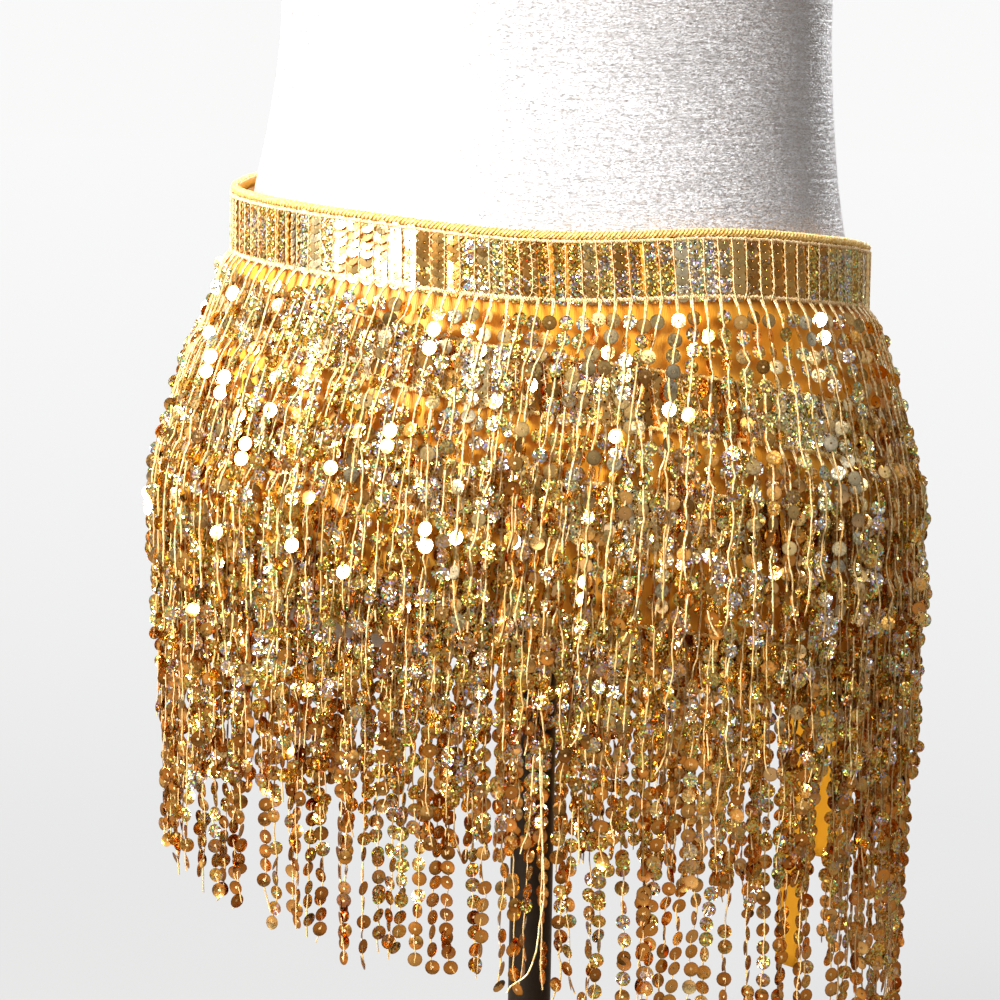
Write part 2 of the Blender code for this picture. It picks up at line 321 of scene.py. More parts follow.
class Shading:
    """A shader tree, with short names for the nodes that it is made of."""

    def __init__(self, tree: bpy.types.NodeTree) -> None:
        """Starts on a tree."""
        self.tree = tree

    def add(self, kind: str, inputs: dict | None = None, **settings: object) -> bpy.types.Node:
        """Adds a node, with its kind named without the ShaderNode prefix."""
        return add_node(self.tree, "ShaderNode" + kind, inputs, **settings)

    def sum(self, operation: str, *values: object) -> object:
        """The result of a Math node on numbers or sockets."""
        return self.add("Math", dict(enumerate(values)), operation=operation).outputs[0]

    def ramp(self, share: object, stops: Stops) -> object:
        """Adds a colour ramp.

        Args:
            share: the socket that it is read by.
            stops: each stop's place and colour.

        Returns:
            The colour's socket.
        """
        node = self.add("ValToRGB", {"Fac": share})
        ends = node.color_ramp.elements
        while len(ends) < len(stops):
            ends.new(0.5)
        for end, (place, colour) in zip(ends, stops):
            end.position = place
            end.color = (*colour, 1.0)
        return node.outputs["Color"]

    def blend(self, share: object, first: object, second: object) -> object:
        """Adds a colour mix.

        Args:
            share: how much of the second colour shows, as a number or a socket.
            first: the first colour, or its socket.
            second: the second colour, or its socket.

        Returns:
            The colour's socket.
        """
        node = self.add("Mix", data_type="RGBA")
        for key, value in ((0, share), (6, first), (7, second)):
            if isinstance(value, bpy.types.NodeSocket):
                self.tree.links.new(value, node.inputs[key])
            elif key == 0:
                node.inputs[key].default_value = value
            else:
                node.inputs[key].default_value = (*value, 1.0)
        return node.outputs[2]

    def place(self, scale: tuple[float, float, float] = (1.0, 1.0, 1.0), own_map: bool = False) -> object:
        """The place on the object, or on its own map, stretched by a scale."""
        found = self.add("TexCoord").outputs["UV" if own_map else "Object"]
        return self.add("Mapping", {"Vector": found, "Scale": scale}).outputs["Vector"]

    def number(self, name: str) -> object:
        """The number of this name that the mesh carries."""
        return self.add("Attribute", attribute_name=name).outputs["Fac"]

    def noise(self, place: object, scale: float, detail: float = 3.0) -> object:
        """A noise's height over a place."""
        inputs = {"Vector": place, "Scale": scale, "Detail": detail}
        return self.add("TexNoise", inputs).outputs[0]

    def stretch(self, value: object, low: float, high: float, least: float, most: float) -> object:
        """A value stretched from the range low to high to the one from least to most."""
        ends = {"From Min": low, "From Max": high, "To Min": least, "To Max": most}
        return self.add("MapRange", {"Value": value, **ends}).outputs["Result"]

    def bump(self, height: object, strength: float, distance: float, **over: object) -> object:
        """The normal of a bump, which may lie over another's Normal."""
        inputs = {"Height": height, "Strength": strength, "Distance": distance, **over}
        return self.add("Bump", inputs).outputs["Normal"]

    def scattered(self, normal: object, cells: object, reach: object) -> object:
        """Tips a normal a little one way or another in each cell.

        Args:
            normal: the normal's socket.
            cells: the socket of a colour that differs from cell to cell.
            reach: how far it tips, as a number or a socket.

        Returns:
            The tipped normal's socket.
        """
        middle = (0.5, 0.5, 0.5)
        offset = self.add("VectorMath", {0: cells, 1: middle}, operation="SUBTRACT")
        tilt = self.add("VectorMath", {0: offset.outputs[0], "Scale": reach}, operation="SCALE")
        leaned = self.add("VectorMath", {0: normal, 1: tilt.outputs[0]}, operation="ADD")
        return self.add("VectorMath", {0: leaned.outputs[0]}, operation="NORMALIZE").outputs[0]


class Dye(Shading):
    """One material, with a Principled shader and the nodes that feed it."""

    def __init__(self, name: str, roughness: float, metallic: float = 0.0) -> None:
        """Starts a material.

        Args:
            name: the material's name.
            roughness: the shader's roughness, unless a socket is joined to it.
            metallic: its share of metal, likewise.
        """
        self.material = bpy.data.materials.new(name)
        self.material.use_nodes = True
        super().__init__(self.material.node_tree)
        self.shader = self.tree.nodes["Principled BSDF"]
        self.shader.inputs["Roughness"].default_value = roughness
        self.shader.inputs["Metallic"].default_value = metallic

    def finish(self, share: object, other: object) -> bpy.types.Material:
        """Mixes a share of another shader into the first, as the material's surface.

        Args:
            share: the other shader's share, as a number or a socket.
            other: the other shader's socket.

        Returns:
            The material.
        """
        mix = self.add("MixShader", {0: share, 1: self.shader.outputs[0], 2: other})
        end = next(node for node in self.tree.nodes if node.type == "OUTPUT_MATERIAL")
        self.tree.links.new(mix.outputs[0], end.inputs["Surface"])
        return self.material

    def paint(self, **sockets: object) -> bpy.types.Material:
        """Joins or sets the shader's sockets.

        Args:
            sockets: each socket's name, with _ for a space, and its value or a socket to join.

        Returns:
            The material.
        """
        for key, value in sockets.items():
            socket = self.shader.inputs[key.replace("_", " ")]
            if isinstance(value, bpy.types.NodeSocket):
                self.tree.links.new(value, socket)
            elif isinstance(value, tuple) and len(value) == 3 and socket.type == "RGBA":
                socket.default_value = (*value, 1.0)
            else:
                socket.default_value = value
        return self.material


@dataclass(frozen=True)
class SequinFinish:
    """Mirror gold film with a holographic fleck.

    Each sequin carries two numbers: tone, from pale gold to brown, and glitter, from a plain
    mirror to all flecks. Its faces carry two more: pit, where it sinks round its hole and is
    painted near black as painted shade, and core, which falls from one at its middle to nothing
    at its rim. Near the middle, where its thread fills the hole, the hole is painted in the
    thread's colour on brown sequins and in painted shadow on pale ones.
    """

    name: str = "sequin_film"
    roughness: float = 0.16
    thread_roughness: float = 0.5
    sheen_of_thread: tuple[float, float] = (-0.45, 0.5)
    fleck: float = 0.00075
    fleck_from: float = 0.49
    fleck_share: float = 0.92
    fleck_spread: float = 0.52
    tilt: float = 0.85
    least_tilt: float = 0.06
    gold: Stops = (
        (0.0, (1.0, 0.86, 0.58)),
        (0.28, (0.97, 0.66, 0.26)),
        (0.55, (0.88, 0.42, 0.09)),
        (0.8, (0.76, 0.32, 0.06)),
        (1.0, (0.54, 0.22, 0.045)),
    )
    olive: Stops = (
        (0.0, (0.94, 0.74, 0.36)),
        (0.5, (0.52, 0.42, 0.13)),
        (1.0, (0.26, 0.20, 0.07)),
    )
    olive_share: float = 0.24
    olive_scale: float = 170.0
    olive_reach: tuple[float, float] = (0.46, 0.60)
    rainbow: Stops = (
        (0.0, (0.92, 0.22, 0.06)),
        (0.10, (1.0, 0.48, 0.08)),
        (0.22, (1.0, 0.76, 0.10)),
        (0.34, (1.0, 0.96, 0.34)),
        (0.46, (0.72, 0.96, 0.20)),
        (0.54, (0.16, 0.82, 0.45)),
        (0.60, (0.50, 0.90, 1.0)),
        (0.70, (0.38, 0.44, 1.0)),
        (0.77, (0.78, 0.55, 1.0)),
        (0.84, (0.97, 0.98, 1.0)),
    )
    cool_scale: float = 80.0
    cool_reach: tuple[float, float] = (0.49, 0.58)
    cool_most: float = 0.40
    cool_of_tone: tuple[float, float] = (-0.26, 0.24)
    thread: Colour = (0.66, 0.50, 0.28)
    shadow: Colour = (0.16, 0.09, 0.03)
    thread_from: float = 0.82
    thread_edge: float = 0.03
    # painted shade: the colour that the film darkens towards at its rim
    rim: Colour = (0.10, 0.05, 0.02)
    rim_shade: float = 0.62
    rim_width: float = 0.22
    # painted shade: near black where a sewn sequin sinks into its pit
    pit: Colour = (0.03, 0.018, 0.008)

    def film(self, dye: Dye, place: object, tone: object, core: object) -> object:
        """The plain film's colour, darkened towards its rim by painted shade.

        Args:
            dye: the material.
            place: the socket of the place on the object.
            tone: the socket of the sequin's tone.
            core: the socket of a place's nearness to the middle.

        Returns:
            The colour's socket.
        """
        patches = dye.noise(place, self.olive_scale, 2.0)
        drift = dye.stretch(patches, *self.olive_reach, 0.0, self.olive_share)
        gold = dye.blend(drift, dye.ramp(tone, self.gold), dye.ramp(tone, self.olive))
        # painted shade darkens the film towards its rim
        rim = dye.stretch(core, 0.001, self.rim_width, self.rim_shade, 1.0)
        return dye.blend(dye.sum("SUBTRACT", 1.0, rim), gold, self.rim)

    def hue(self, dye: Dye, place: object, tone: object, chance: object) -> object:
        """A fleck's colour: warm to green on most sequins, and blue to white in cool patches.

        Args:
            dye: the material.
            place: the socket of the place on the object.
            tone: the socket of the sequin's tone.
            chance: the socket of a number that differs from fleck to fleck.

        Returns:
            The colour's socket.
        """
        patches = dye.noise(place, self.cool_scale, 1.0)
        patch = dye.stretch(patches, *self.cool_reach, 0.0, self.cool_most)
        cool = dye.sum("ADD", dye.sum("MULTIPLY_ADD", tone, *self.cool_of_tone), patch)
        return dye.ramp(dye.sum("MULTIPLY_ADD", chance, self.fleck_spread, cool), self.rainbow)

    def build(self) -> bpy.types.Material:
        """Makes the material.

        Returns:
            The material.
        """
        dye = Dye(self.name, self.roughness, 1.0)
        tone, glitter, pit, core = (dye.number(name) for name in ("tone", "glitter", "pit", "core"))
        place = dye.place()
        cells = dye.add("TexVoronoi", {"Vector": place, "Scale": 1.0 / self.fleck}).outputs["Color"]
        parts = dye.add("SeparateColor", {0: cells}).outputs
        lively = dye.sum("GREATER_THAN", parts[1], self.fleck_from)
        share = dye.sum("MULTIPLY", dye.sum("MULTIPLY", lively, glitter), self.fleck_share)
        film = dye.blend(share, self.film(dye, place, tone, core), self.hue(dye, place, tone, parts[0]))
        # painted shade: the pit is darkened towards near black
        film = dye.blend(pit, film, self.pit)
        filled = dye.stretch(core, self.thread_from, self.thread_from + self.thread_edge, 0.0, 1.0)
        # the painted hole: painted shadow on pale sequins, the thread's colour on brown ones
        hole = dye.ramp(tone, [(0.35, self.shadow), (0.75, self.thread)])
        reach = dye.sum("MULTIPLY", dye.sum("ADD", glitter, self.least_tilt), self.tilt)
        return dye.paint(
            Base_Color=dye.blend(filled, film, hole),
            Metallic=dye.sum("SUBTRACT", 1.0, filled),
            Roughness=dye.sum("MULTIPLY_ADD", filled, self.thread_roughness, self.roughness),
            Specular_IOR_Level=dye.sum("MULTIPLY_ADD", filled, *self.sheen_of_thread),
            Normal=dye.scattered(dye.add("NewGeometry").outputs["Normal"], cells, reach),
        )


@dataclass(frozen=True)
class SatinFinish:
    """Mustard satin: a fine weave, a soft sheen, slight unevenness of dye and some light through."""

    name: str = "mustard_satin_cloth"
    light: Colour = (1.0, 0.52, 0.05)
    deep: Colour = (0.94, 0.41, 0.025)
    sheen: Colour = (1.0, 0.72, 0.3)
    glow: Colour = (1.0, 0.52, 0.05)
    glow_share: float = 0.3
    roughness: float = 0.38
    patch_scale: float = 38.0
    thread: float = 0.00045
    slub_scale: float = 900.0

    def build(self) -> bpy.types.Material:
        """Makes the material.

        Returns:
            The material.
        """
        dye = Dye(self.name, self.roughness)
        patches = dye.noise(dye.place(), self.patch_scale, 4.0)
        across = dye.place((1.0, 0.35, 1.0), own_map=True)
        wave = {"Vector": across, "Scale": 1.0 / self.thread / 6.0, "Distortion": 1.2}
        weave = dye.bump(dye.add("TexWave", wave).outputs["Color"], 0.25, 0.0002)
        slub = dye.noise(dye.place((1.0, 1.0, 0.12)), self.slub_scale, 2.0)
        both = dye.bump(slub, 0.35, 0.0004, Normal=weave)
        dye.paint(
            Base_Color=dye.ramp(patches, [(0.3, self.deep), (0.62, self.light)]),
            Normal=both,
            Sheen_Weight=0.10,
            Sheen_Roughness=0.4,
            Sheen_Tint=self.sheen,
            Specular_IOR_Level=0.4,
        )
        through = dye.add("BsdfTranslucent", {"Color": (*self.glow, 1.0), "Normal": both})
        return dye.finish(self.glow_share, through.outputs[0])


@dataclass(frozen=True)
class YarnFinish:
    """Gold yarn with a twist that shows as fine dark and light.

    A thread may carry a number, tone, from its own colour to a browner one. On the fringe the tone is
    partly random and partly painted shade, which grows towards a strand's foot.
    """

    name: str = "fringe_thread"
    light: Colour = (0.95, 0.78, 0.42)
    shade: Colour = (0.60, 0.34, 0.10)
    brown: Colour = (0.50, 0.31, 0.10)
    sheen: Colour = (1.0, 0.88, 0.6)
    roughness: float = 0.45
    twist: float = 0.0013

    def build(self) -> bpy.types.Material:
        """Makes the material.

        Returns:
            The material.
        """
        dye = Dye(self.name, self.roughness)
        grain = dye.noise(dye.place(), 1.0 / self.twist, 2.0)
        colour = dye.ramp(grain, [(0.43, self.shade), (0.53, self.light)])
        return dye.paint(
            Base_Color=dye.blend(dye.number("tone"), colour, self.brown),
            Normal=dye.bump(grain, 0.7, 0.0005),
            Sheen_Weight=0.3,
            Sheen_Roughness=0.35,
            Sheen_Tint=self.sheen,
        )


@dataclass(frozen=True)
class LameFinish:
    """Silver stretch lame: a crinkled metallic grain lying mostly level, with soft grey clouds of painted
    shade.
    """

    name: str = "silver_lame_cover"
    light: Colour = (0.96, 0.96, 0.98)
    shade: Colour = (0.46, 0.455, 0.47)
    # painted shade: soft grey clouds laid over the cover
    shade_cloud: Colour = (0.55, 0.55, 0.56)
    shade_cloud_share: float = 0.6
    shade_cloud_scale: float = 14.0
    grain: float = 0.00075
    slub_scale: float = 150.0
    spark: float = 0.36
    roughness: float = 0.34
    metallic: float = 0.55

    def build(self) -> bpy.types.Material:
        """Makes the material.

        Returns:
            The material.
        """
        dye = Dye(self.name, self.roughness, self.metallic)
        level = dye.place((0.6, 0.6, 1.5))
        grain = dye.noise(level, 1.0 / self.grain, 3.0)
        slub = dye.noise(dye.place((0.3, 0.3, 3.2)), self.slub_scale, 4.0)
        colour = dye.ramp(grain, [(0.35, self.shade), (0.6, self.light)])
        # painted shade: soft grey clouds over the cover
        cloud = dye.noise(dye.place(), self.shade_cloud_scale, 2.0)
        shade_clouded = dye.stretch(cloud, 0.38, 0.56, self.shade_cloud_share, 0.0)
        cells = dye.add("TexVoronoi", {"Vector": level, "Scale": 0.8 / self.grain})
        rough = dye.bump(slub, 0.4, 0.0012, Normal=dye.bump(grain, 0.55, 0.0006))
        return dye.paint(
            Base_Color=dye.blend(shade_clouded, colour, self.shade_cloud),
            Normal=dye.scattered(rough, cells.outputs["Color"], self.spark),
        )


@dataclass(frozen=True)
class BronzeFinish:
    """Dark bronzed steel with faint brush marks and worn tone."""

    name: str = "dark_bronze_metal"
    light: Colour = (0.058, 0.047, 0.037)
    deep: Colour = (0.036, 0.029, 0.023)
    metallic: float = 0.85
    smooth: float = 0.30
    worn: float = 0.42
    cloud_scale: float = 60.0
    brush_scale: float = 1400.0

    def build(self) -> bpy.types.Material:
        """Makes the material.

        Returns:
            The material.
        """
        dye = Dye(self.name, self.smooth, self.metallic)
        cloud = dye.noise(dye.place(), self.cloud_scale, 5.0)
        brush = dye.noise(dye.place((1.0, 1.0, 0.04)), self.brush_scale, 2.0)
        return dye.paint(
            Base_Color=dye.ramp(cloud, [(0.35, self.deep), (0.7, self.light)]),
            Roughness=dye.stretch(cloud, 0.0, 1.0, self.smooth, self.worn),
            Normal=dye.bump(brush, 0.18, 0.0003),
        )


class Finishes:
    """Every finish, made once."""

    def __init__(self) -> None:
        """Makes the materials."""
        self.sequin = SequinFinish().build()
        self.satin = SatinFinish().build()
        thin = SatinFinish("tie_satin_cloth", glow=(1.0, 0.70, 0.16), glow_share=0.7)
        self.tie_satin = thin.build()
        self.yarn = YarnFinish().build()
        self.edging = YarnFinish("edging_yarn", (0.92, 0.65, 0.22), (0.72, 0.42, 0.09)).build()
        self.chain = YarnFinish("chain_yarn", (0.98, 0.76, 0.42), (0.84, 0.54, 0.24)).build()
        # painted shade: the lower tiers' threads are darker
        low = YarnFinish("low_fringe_thread", (0.80, 0.60, 0.30), (0.58, 0.36, 0.13))
        self.low_yarn = low.build()
        self.lame = LameFinish().build()
        self.bronze = BronzeFinish().build()


# ---- Making meshes ----


def add_object(
    name: str, mesh: bpy.types.Mesh, material: bpy.types.Material | None = None
) -> bpy.types.Object:
    """Puts a mesh in the scene.

    Args:
        name: the object's name.
        mesh: its mesh.
        material: the material that replaces the mesh's own, if one is given.

    Returns:
        The object.
    """
    piece = bpy.data.objects.new(name, mesh)
    bpy.context.scene.collection.objects.link(piece)
    if material is not None:
        mesh.materials.clear()
        mesh.materials.append(material)
    return piece


def finish_piece(piece: bpy.types.Object, nodes: Sequence[str] = ()) -> bpy.types.Object:
    """Makes a piece ride with the part, hides the CAD nodes that it stands for and reports it.

    Args:
        piece: the finished piece.
        nodes: the CAD nodes that it takes the place of.

    Returns:
        The piece.
    """
    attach(piece, "root")
    if nodes:
        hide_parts(*nodes)
    triangles = sum(len(face.vertices) - 2 for face in piece.data.polygons)
    LOG.info("%s: %d triangles", piece.name, triangles)
    return piece


def grid_mesh(
    name: str, points: Array, across: Array, down: Array, closed: bool = False
) -> bpy.types.Mesh:
    """A sheet of quads with its own map.

    Args:
        name: the mesh's name.
        points: rows of points, shaped (columns, rows, 3).
        across: each column's place on the map.
        down: each row's place on the map, or one for each point.
        closed: whether the last column joins the first.

    Returns:
        The mesh.
    """
    columns, rows = points.shape[:2]
    index = np.arange(columns * rows).reshape(columns, rows)
    after = np.roll(index, -1, axis=0) if closed else index[1:]
    before = index if closed else index[:-1]
    faces = np.stack(
        [before[:, :-1], before[:, 1:], after[:, 1:], after[:, :-1]], axis=-1
    ).reshape(-1, 4)
    mesh = bpy.data.meshes.new(name)
    mesh.from_pydata(points.reshape(-1, 3).tolist(), [], faces.tolist())
    places = np.stack(np.broadcast_arrays(across[:, None], down), axis=-1).reshape(-1, 2)
    layer = mesh.uv_layers.new(name="UVMap")
    corners = np.empty(len(mesh.loops), np.int32)
    mesh.loops.foreach_get("vertex_index", corners)
    layer.uv.foreach_set("vector", places[corners].astype(np.float32).ravel())
    mesh.shade_smooth()
    return mesh


def settle(work: bmesh.types.BMesh, mesh: bpy.types.Mesh) -> None:
    """Turns the faces of a closed shape outwards, and makes the shape a smooth mesh.

    Args:
        work: the shape, which is used up.
        mesh: the mesh that it becomes.
    """
    bmesh.ops.recalc_face_normals(work, faces=work.faces)
    work.to_mesh(mesh)
    work.free()
    mesh.shade_smooth()


def lathe_mesh(name: str, profile: Sequence[tuple[float, float]], steps: int = 96) -> bpy.types.Mesh:
    """A turned solid.

    Args:
        name: the mesh's name.
        profile: radius and height of each corner, from the axis at the top to that at the foot.
        steps: how many faces go round.

    Returns:
        The mesh, closed on the axis.
    """
    work = bmesh.new()
    line = [work.verts.new((radius, 0.0, height)) for radius, height in profile]
    edges = [work.edges.new(pair) for pair in zip(line, line[1:])]
    bmesh.ops.spin(
        work, geom=line + edges, axis=(0, 0, 1), cent=(0, 0, 0), angle=2 * math.pi, steps=steps
    )
    bmesh.ops.remove_doubles(work, verts=work.verts, dist=0.00001)
    mesh = bpy.data.meshes.new(name)
    settle(work, mesh)
    mesh.set_sharp_from_angle(angle=math.radians(40))
    return mesh


def rounded(
    corners: Sequence[tuple[float, float]], radius: float, steps: int = 4
) -> list[tuple[float, float]]:
    """Rounds the inner corners of an open outline.

    Args:
        corners: the outline's corners.
        radius: how far from a corner its rounding starts.
        steps: how many stretches each rounding has.

    Returns:
        The outline's points.
    """
    points = [corners[0]]
    for before, corner, after in zip(corners, corners[1:], corners[2:]):
        here = Vector(corner)
        back = (Vector(before) - here).normalized() * radius
        on = (Vector(after) - here).normalized() * radius
        for step in range(steps + 1):
            share = step / steps
            point = here + back * (1 - share) ** 2 + on * share**2
            points.append((point.x, point.y))
    return points + [corners[-1]]


class Tree:
    """A Geometry Nodes tree, with named inputs, that ends in Realize Instances and Set Material."""

    def __init__(self, name: str, inputs: dict[str, tuple[str, object]]) -> None:
        """Starts a tree.

        Args:
            name: the tree's name.
            inputs: each input's name, with its socket's kind and its first value.
        """
        self.tree = bpy.data.node_groups.new(name, "GeometryNodeTree")
        face = self.tree.interface
        face.new_socket("Geometry", in_out="OUTPUT", socket_type="NodeSocketGeometry")
        face.new_socket("Geometry", in_out="INPUT", socket_type="NodeSocketGeometry")
        for label, (kind, value) in inputs.items():
            socket = face.new_socket(label, in_out="INPUT", socket_type="NodeSocket" + kind)
            if value is not None:
                socket.default_value = value
        self.entry = self.tree.nodes.new("NodeGroupInput")

    def add(self, kind: str, inputs: dict | None = None, **settings: object) -> bpy.types.Node:
        """Adds a node, with its kind in full."""
        return add_node(self.tree, kind, inputs, **settings)

    def close(self, shape: object) -> None:
        """Ends the tree with the realized shape in its material.

        Args:
            shape: the socket of the shape.
        """
        real = self.add("GeometryNodeRealizeInstances", {0: shape})
        dressed = {"Geometry": real.outputs[0], "Material": self.entry.outputs["Finish"]}
        worn = self.add("GeometryNodeSetMaterial", dressed)
        self.add("NodeGroupOutput", {0: worn.outputs[0]})

    def run(self, name: str, start: bpy.types.Mesh, values: dict[str, object]) -> bpy.types.Object:
        """Grows the tree on a mesh and keeps the result as a plain mesh.

        Args:
            name: the new piece's name.
            start: the mesh of points or lines that the tree starts from.
            values: each input's value, by its name.

        Returns:
            The new piece.
        """
        holder = add_object(name + "_start", start)
        modifier = holder.modifiers.new("grow", "NODES")
        modifier.node_group = self.tree
        for item in self.tree.interface.items_tree:
            if item.item_type == "SOCKET" and item.in_out == "INPUT" and item.name in values:
                modifier[item.identifier] = values[item.name]
        holder.update_tag()
        bpy.context.view_layer.update()
        ready = holder.evaluated_get(bpy.context.evaluated_depsgraph_get())
        mesh = bpy.data.meshes.new_from_object(ready)
        mesh.name = name
        bpy.data.objects.remove(holder)
        bpy.data.meshes.remove(start)
        for spare in ("turn", "size", "thickness"):
            if spare in mesh.attributes:
                mesh.attributes.remove(mesh.attributes[spare])
        return add_object(name, mesh)


def scatter_tree() -> Tree:
    """Makes the tree that sets a small shape on every point, as the point is turned.

    Returns:
        The tree, whose Flutter turns each shape by chance a little further.
    """
    tree = Tree(
        "set_on_points",
        {
            "Shape": ("Object", None),
            "Flutter": ("Float", 0.1),
            "Seed": ("Int", 1),
            "Finish": ("Material", None),
        },
    )
    entry = tree.entry.outputs
    turn = tree.add("GeometryNodeInputNamedAttribute", {"Name": "turn"}, data_type="QUATERNION")
    size = tree.add("GeometryNodeInputNamedAttribute", {"Name": "size"}, data_type="FLOAT")
    least = tree.add("ShaderNodeMath", {0: entry["Flutter"], 1: -1.0}, operation="MULTIPLY")
    lean = tree.add(
        "FunctionNodeRandomValue",
        {0: least.outputs[0], 1: entry["Flutter"], "Seed": entry["Seed"]},
        data_type="FLOAT_VECTOR",
    )
    small = tree.add("FunctionNodeEulerToRotation", {0: lean.outputs[0]})
    whole = tree.add(
        "FunctionNodeRotateRotation", {0: turn.outputs[0], 1: small.outputs[0]}, rotation_space="LOCAL"
    )
    shape = tree.add("GeometryNodeObjectInfo", {"Object": entry["Shape"]})
    placed = tree.add(
        "GeometryNodeInstanceOnPoints",
        {
            "Points": entry["Geometry"],
            "Instance": shape.outputs["Geometry"],
            "Rotation": whole.outputs[0],
            "Scale": size.outputs[0],
        },
    )
    tree.close(placed.outputs[0])
    return tree


def thread_tree() -> Tree:
    """Makes the tree that turns every line of edges into a round thread.

    Returns:
        The tree.
    """
    tree = Tree(
        "spin_threads",
        {"Radius": ("Float", 0.0004), "Sides": ("Int", 4), "Finish": ("Material", None)},
    )
    entry = tree.entry.outputs
    line = tree.add("GeometryNodeMeshToCurve", {0: entry["Geometry"]})
    sizes = {"Resolution": entry["Sides"], "Radius": entry["Radius"]}
    ring = tree.add("GeometryNodeCurvePrimitiveCircle", sizes)
    tube = tree.add(
        "GeometryNodeCurveToMesh",
        {"Curve": line.outputs[0], "Profile Curve": ring.outputs[0], "Fill Caps": True},
    )
    smooth = tree.add("GeometryNodeSetShadeSmooth", {0: tube.outputs[0]})
    tree.close(smooth.outputs[0])
    return tree


def points_mesh(
    name: str, places: Sequence[Array], frames: Sequence[Array], numbers: dict[str, Sequence[float]]
) -> bpy.types.Mesh:
    """A mesh of loose points that carry a turn and numbers.

    Args:
        name: the mesh's name.
        places: the points.
        frames: each point's axes, as the columns of a turning matrix.
        numbers: named numbers, one for each point.

    Returns:
        The mesh.
    """
    mesh = bpy.data.meshes.new(name)
    mesh.from_pydata(np.array(places).tolist(), [], [])
    turns = [Matrix(turning.tolist()).to_quaternion() for turning in frames]
    turn = mesh.attributes.new("turn", "QUATERNION", "POINT")
    turn.data.foreach_set("value", [part for one in turns for part in one])
    for label, values in numbers.items():
        layer = mesh.attributes.new(label, "FLOAT", "POINT")
        layer.data.foreach_set("value", np.asarray(values, np.float32))
    return mesh


def lines_mesh(name: str, lines: Sequence[Array], tones: Sequence[Array] = ()) -> bpy.types.Mesh:
    """A mesh of edges along each line of points.

    Args:
        name: the mesh's name.
        lines: the lines.
        tones: a tone for each point of each line, if they have any.

    Returns:
        The mesh.
    """
    places: list[list[float]] = []
    edges: list[tuple[int, int]] = []
    for line in lines:
        first = len(places)
        places += line.tolist()
        edges += [(first + step, first + step + 1) for step in range(len(line) - 1)]
    mesh = bpy.data.meshes.new(name)
    mesh.from_pydata(places, edges, [])
    if tones:
        layer = mesh.attributes.new("tone", "FLOAT", "POINT")
        layer.data.foreach_set("value", np.concatenate(tones).astype(np.float32))
    return mesh


def unit(vectors: Array) -> Array:
    """The vectors at a length of one."""
    return vectors / np.maximum(np.linalg.norm(vectors, axis=-1, keepdims=True), 1e-12)


# ---- Sequins ----


@dataclass
class Sequin:
    """One round sequin of film: a shallow dish when loose, and a ring round a pit when sewn flat."""

    radius: float = 0.0034
    hole: float = 0.00055
    swell: float = 0.00042
    sides: int = 14
    sewn: bool = False
    pit: float = 0.0009
    film: float = 0.00018

    def ring(self, radius: float, height: float) -> list[tuple[float, float, float]]:
        """The points of one ring."""
        turns = np.arange(self.sides) * 2 * math.pi / self.sides
        return [(radius * math.cos(turn), radius * math.sin(turn), height) for turn in turns]

    def build(self) -> bpy.types.Object:
        """Makes the sequin, face up.

        Returns:
            A hidden shape for a tree to repeat.
        """
        count = self.sides
        places = self.ring(self.radius, 0.0)
        after = [(side + 1) % count for side in range(count)]
        if self.sewn:
            places += self.ring(self.hole, self.swell) + [(0.0, 0.0, self.swell - self.pit)]
            faces = [(side, after[side], count + after[side], count + side) for side in range(count)]
            faces += [(count + side, count + after[side], 2 * count) for side in range(count)]
            marks = {"pit": [0.0] * 2 * count + [1.0], "core": [0.3] * len(places)}
        else:
            places += [(0.0, 0.0, self.swell), (0.0, 0.0, self.swell - self.film)]
            faces = [(side, after[side], count) for side in range(count)]
            faces += [(after[side], side, count + 1) for side in range(count)]
            marks = {"pit": [0.0] * len(places), "core": [0.0] * count + [1.0, 1.0]}
        mesh = bpy.data.meshes.new("sequin")
        mesh.from_pydata(places, [], faces)
        for label, values in marks.items():
            mesh.attributes.new(label, "FLOAT", "POINT").data.foreach_set("value", values)
        mesh.shade_smooth()
        mesh.set_sharp_from_angle(angle=math.radians(30))
        shape = add_object("sequin_shape", mesh)
        shape.hide_render = True
        return shape


# Which way a sequin faces when it throws the main light at a viewer in front
BRIGHT_WAY = unit(np.array([-0.34, -0.89, 0.29]))


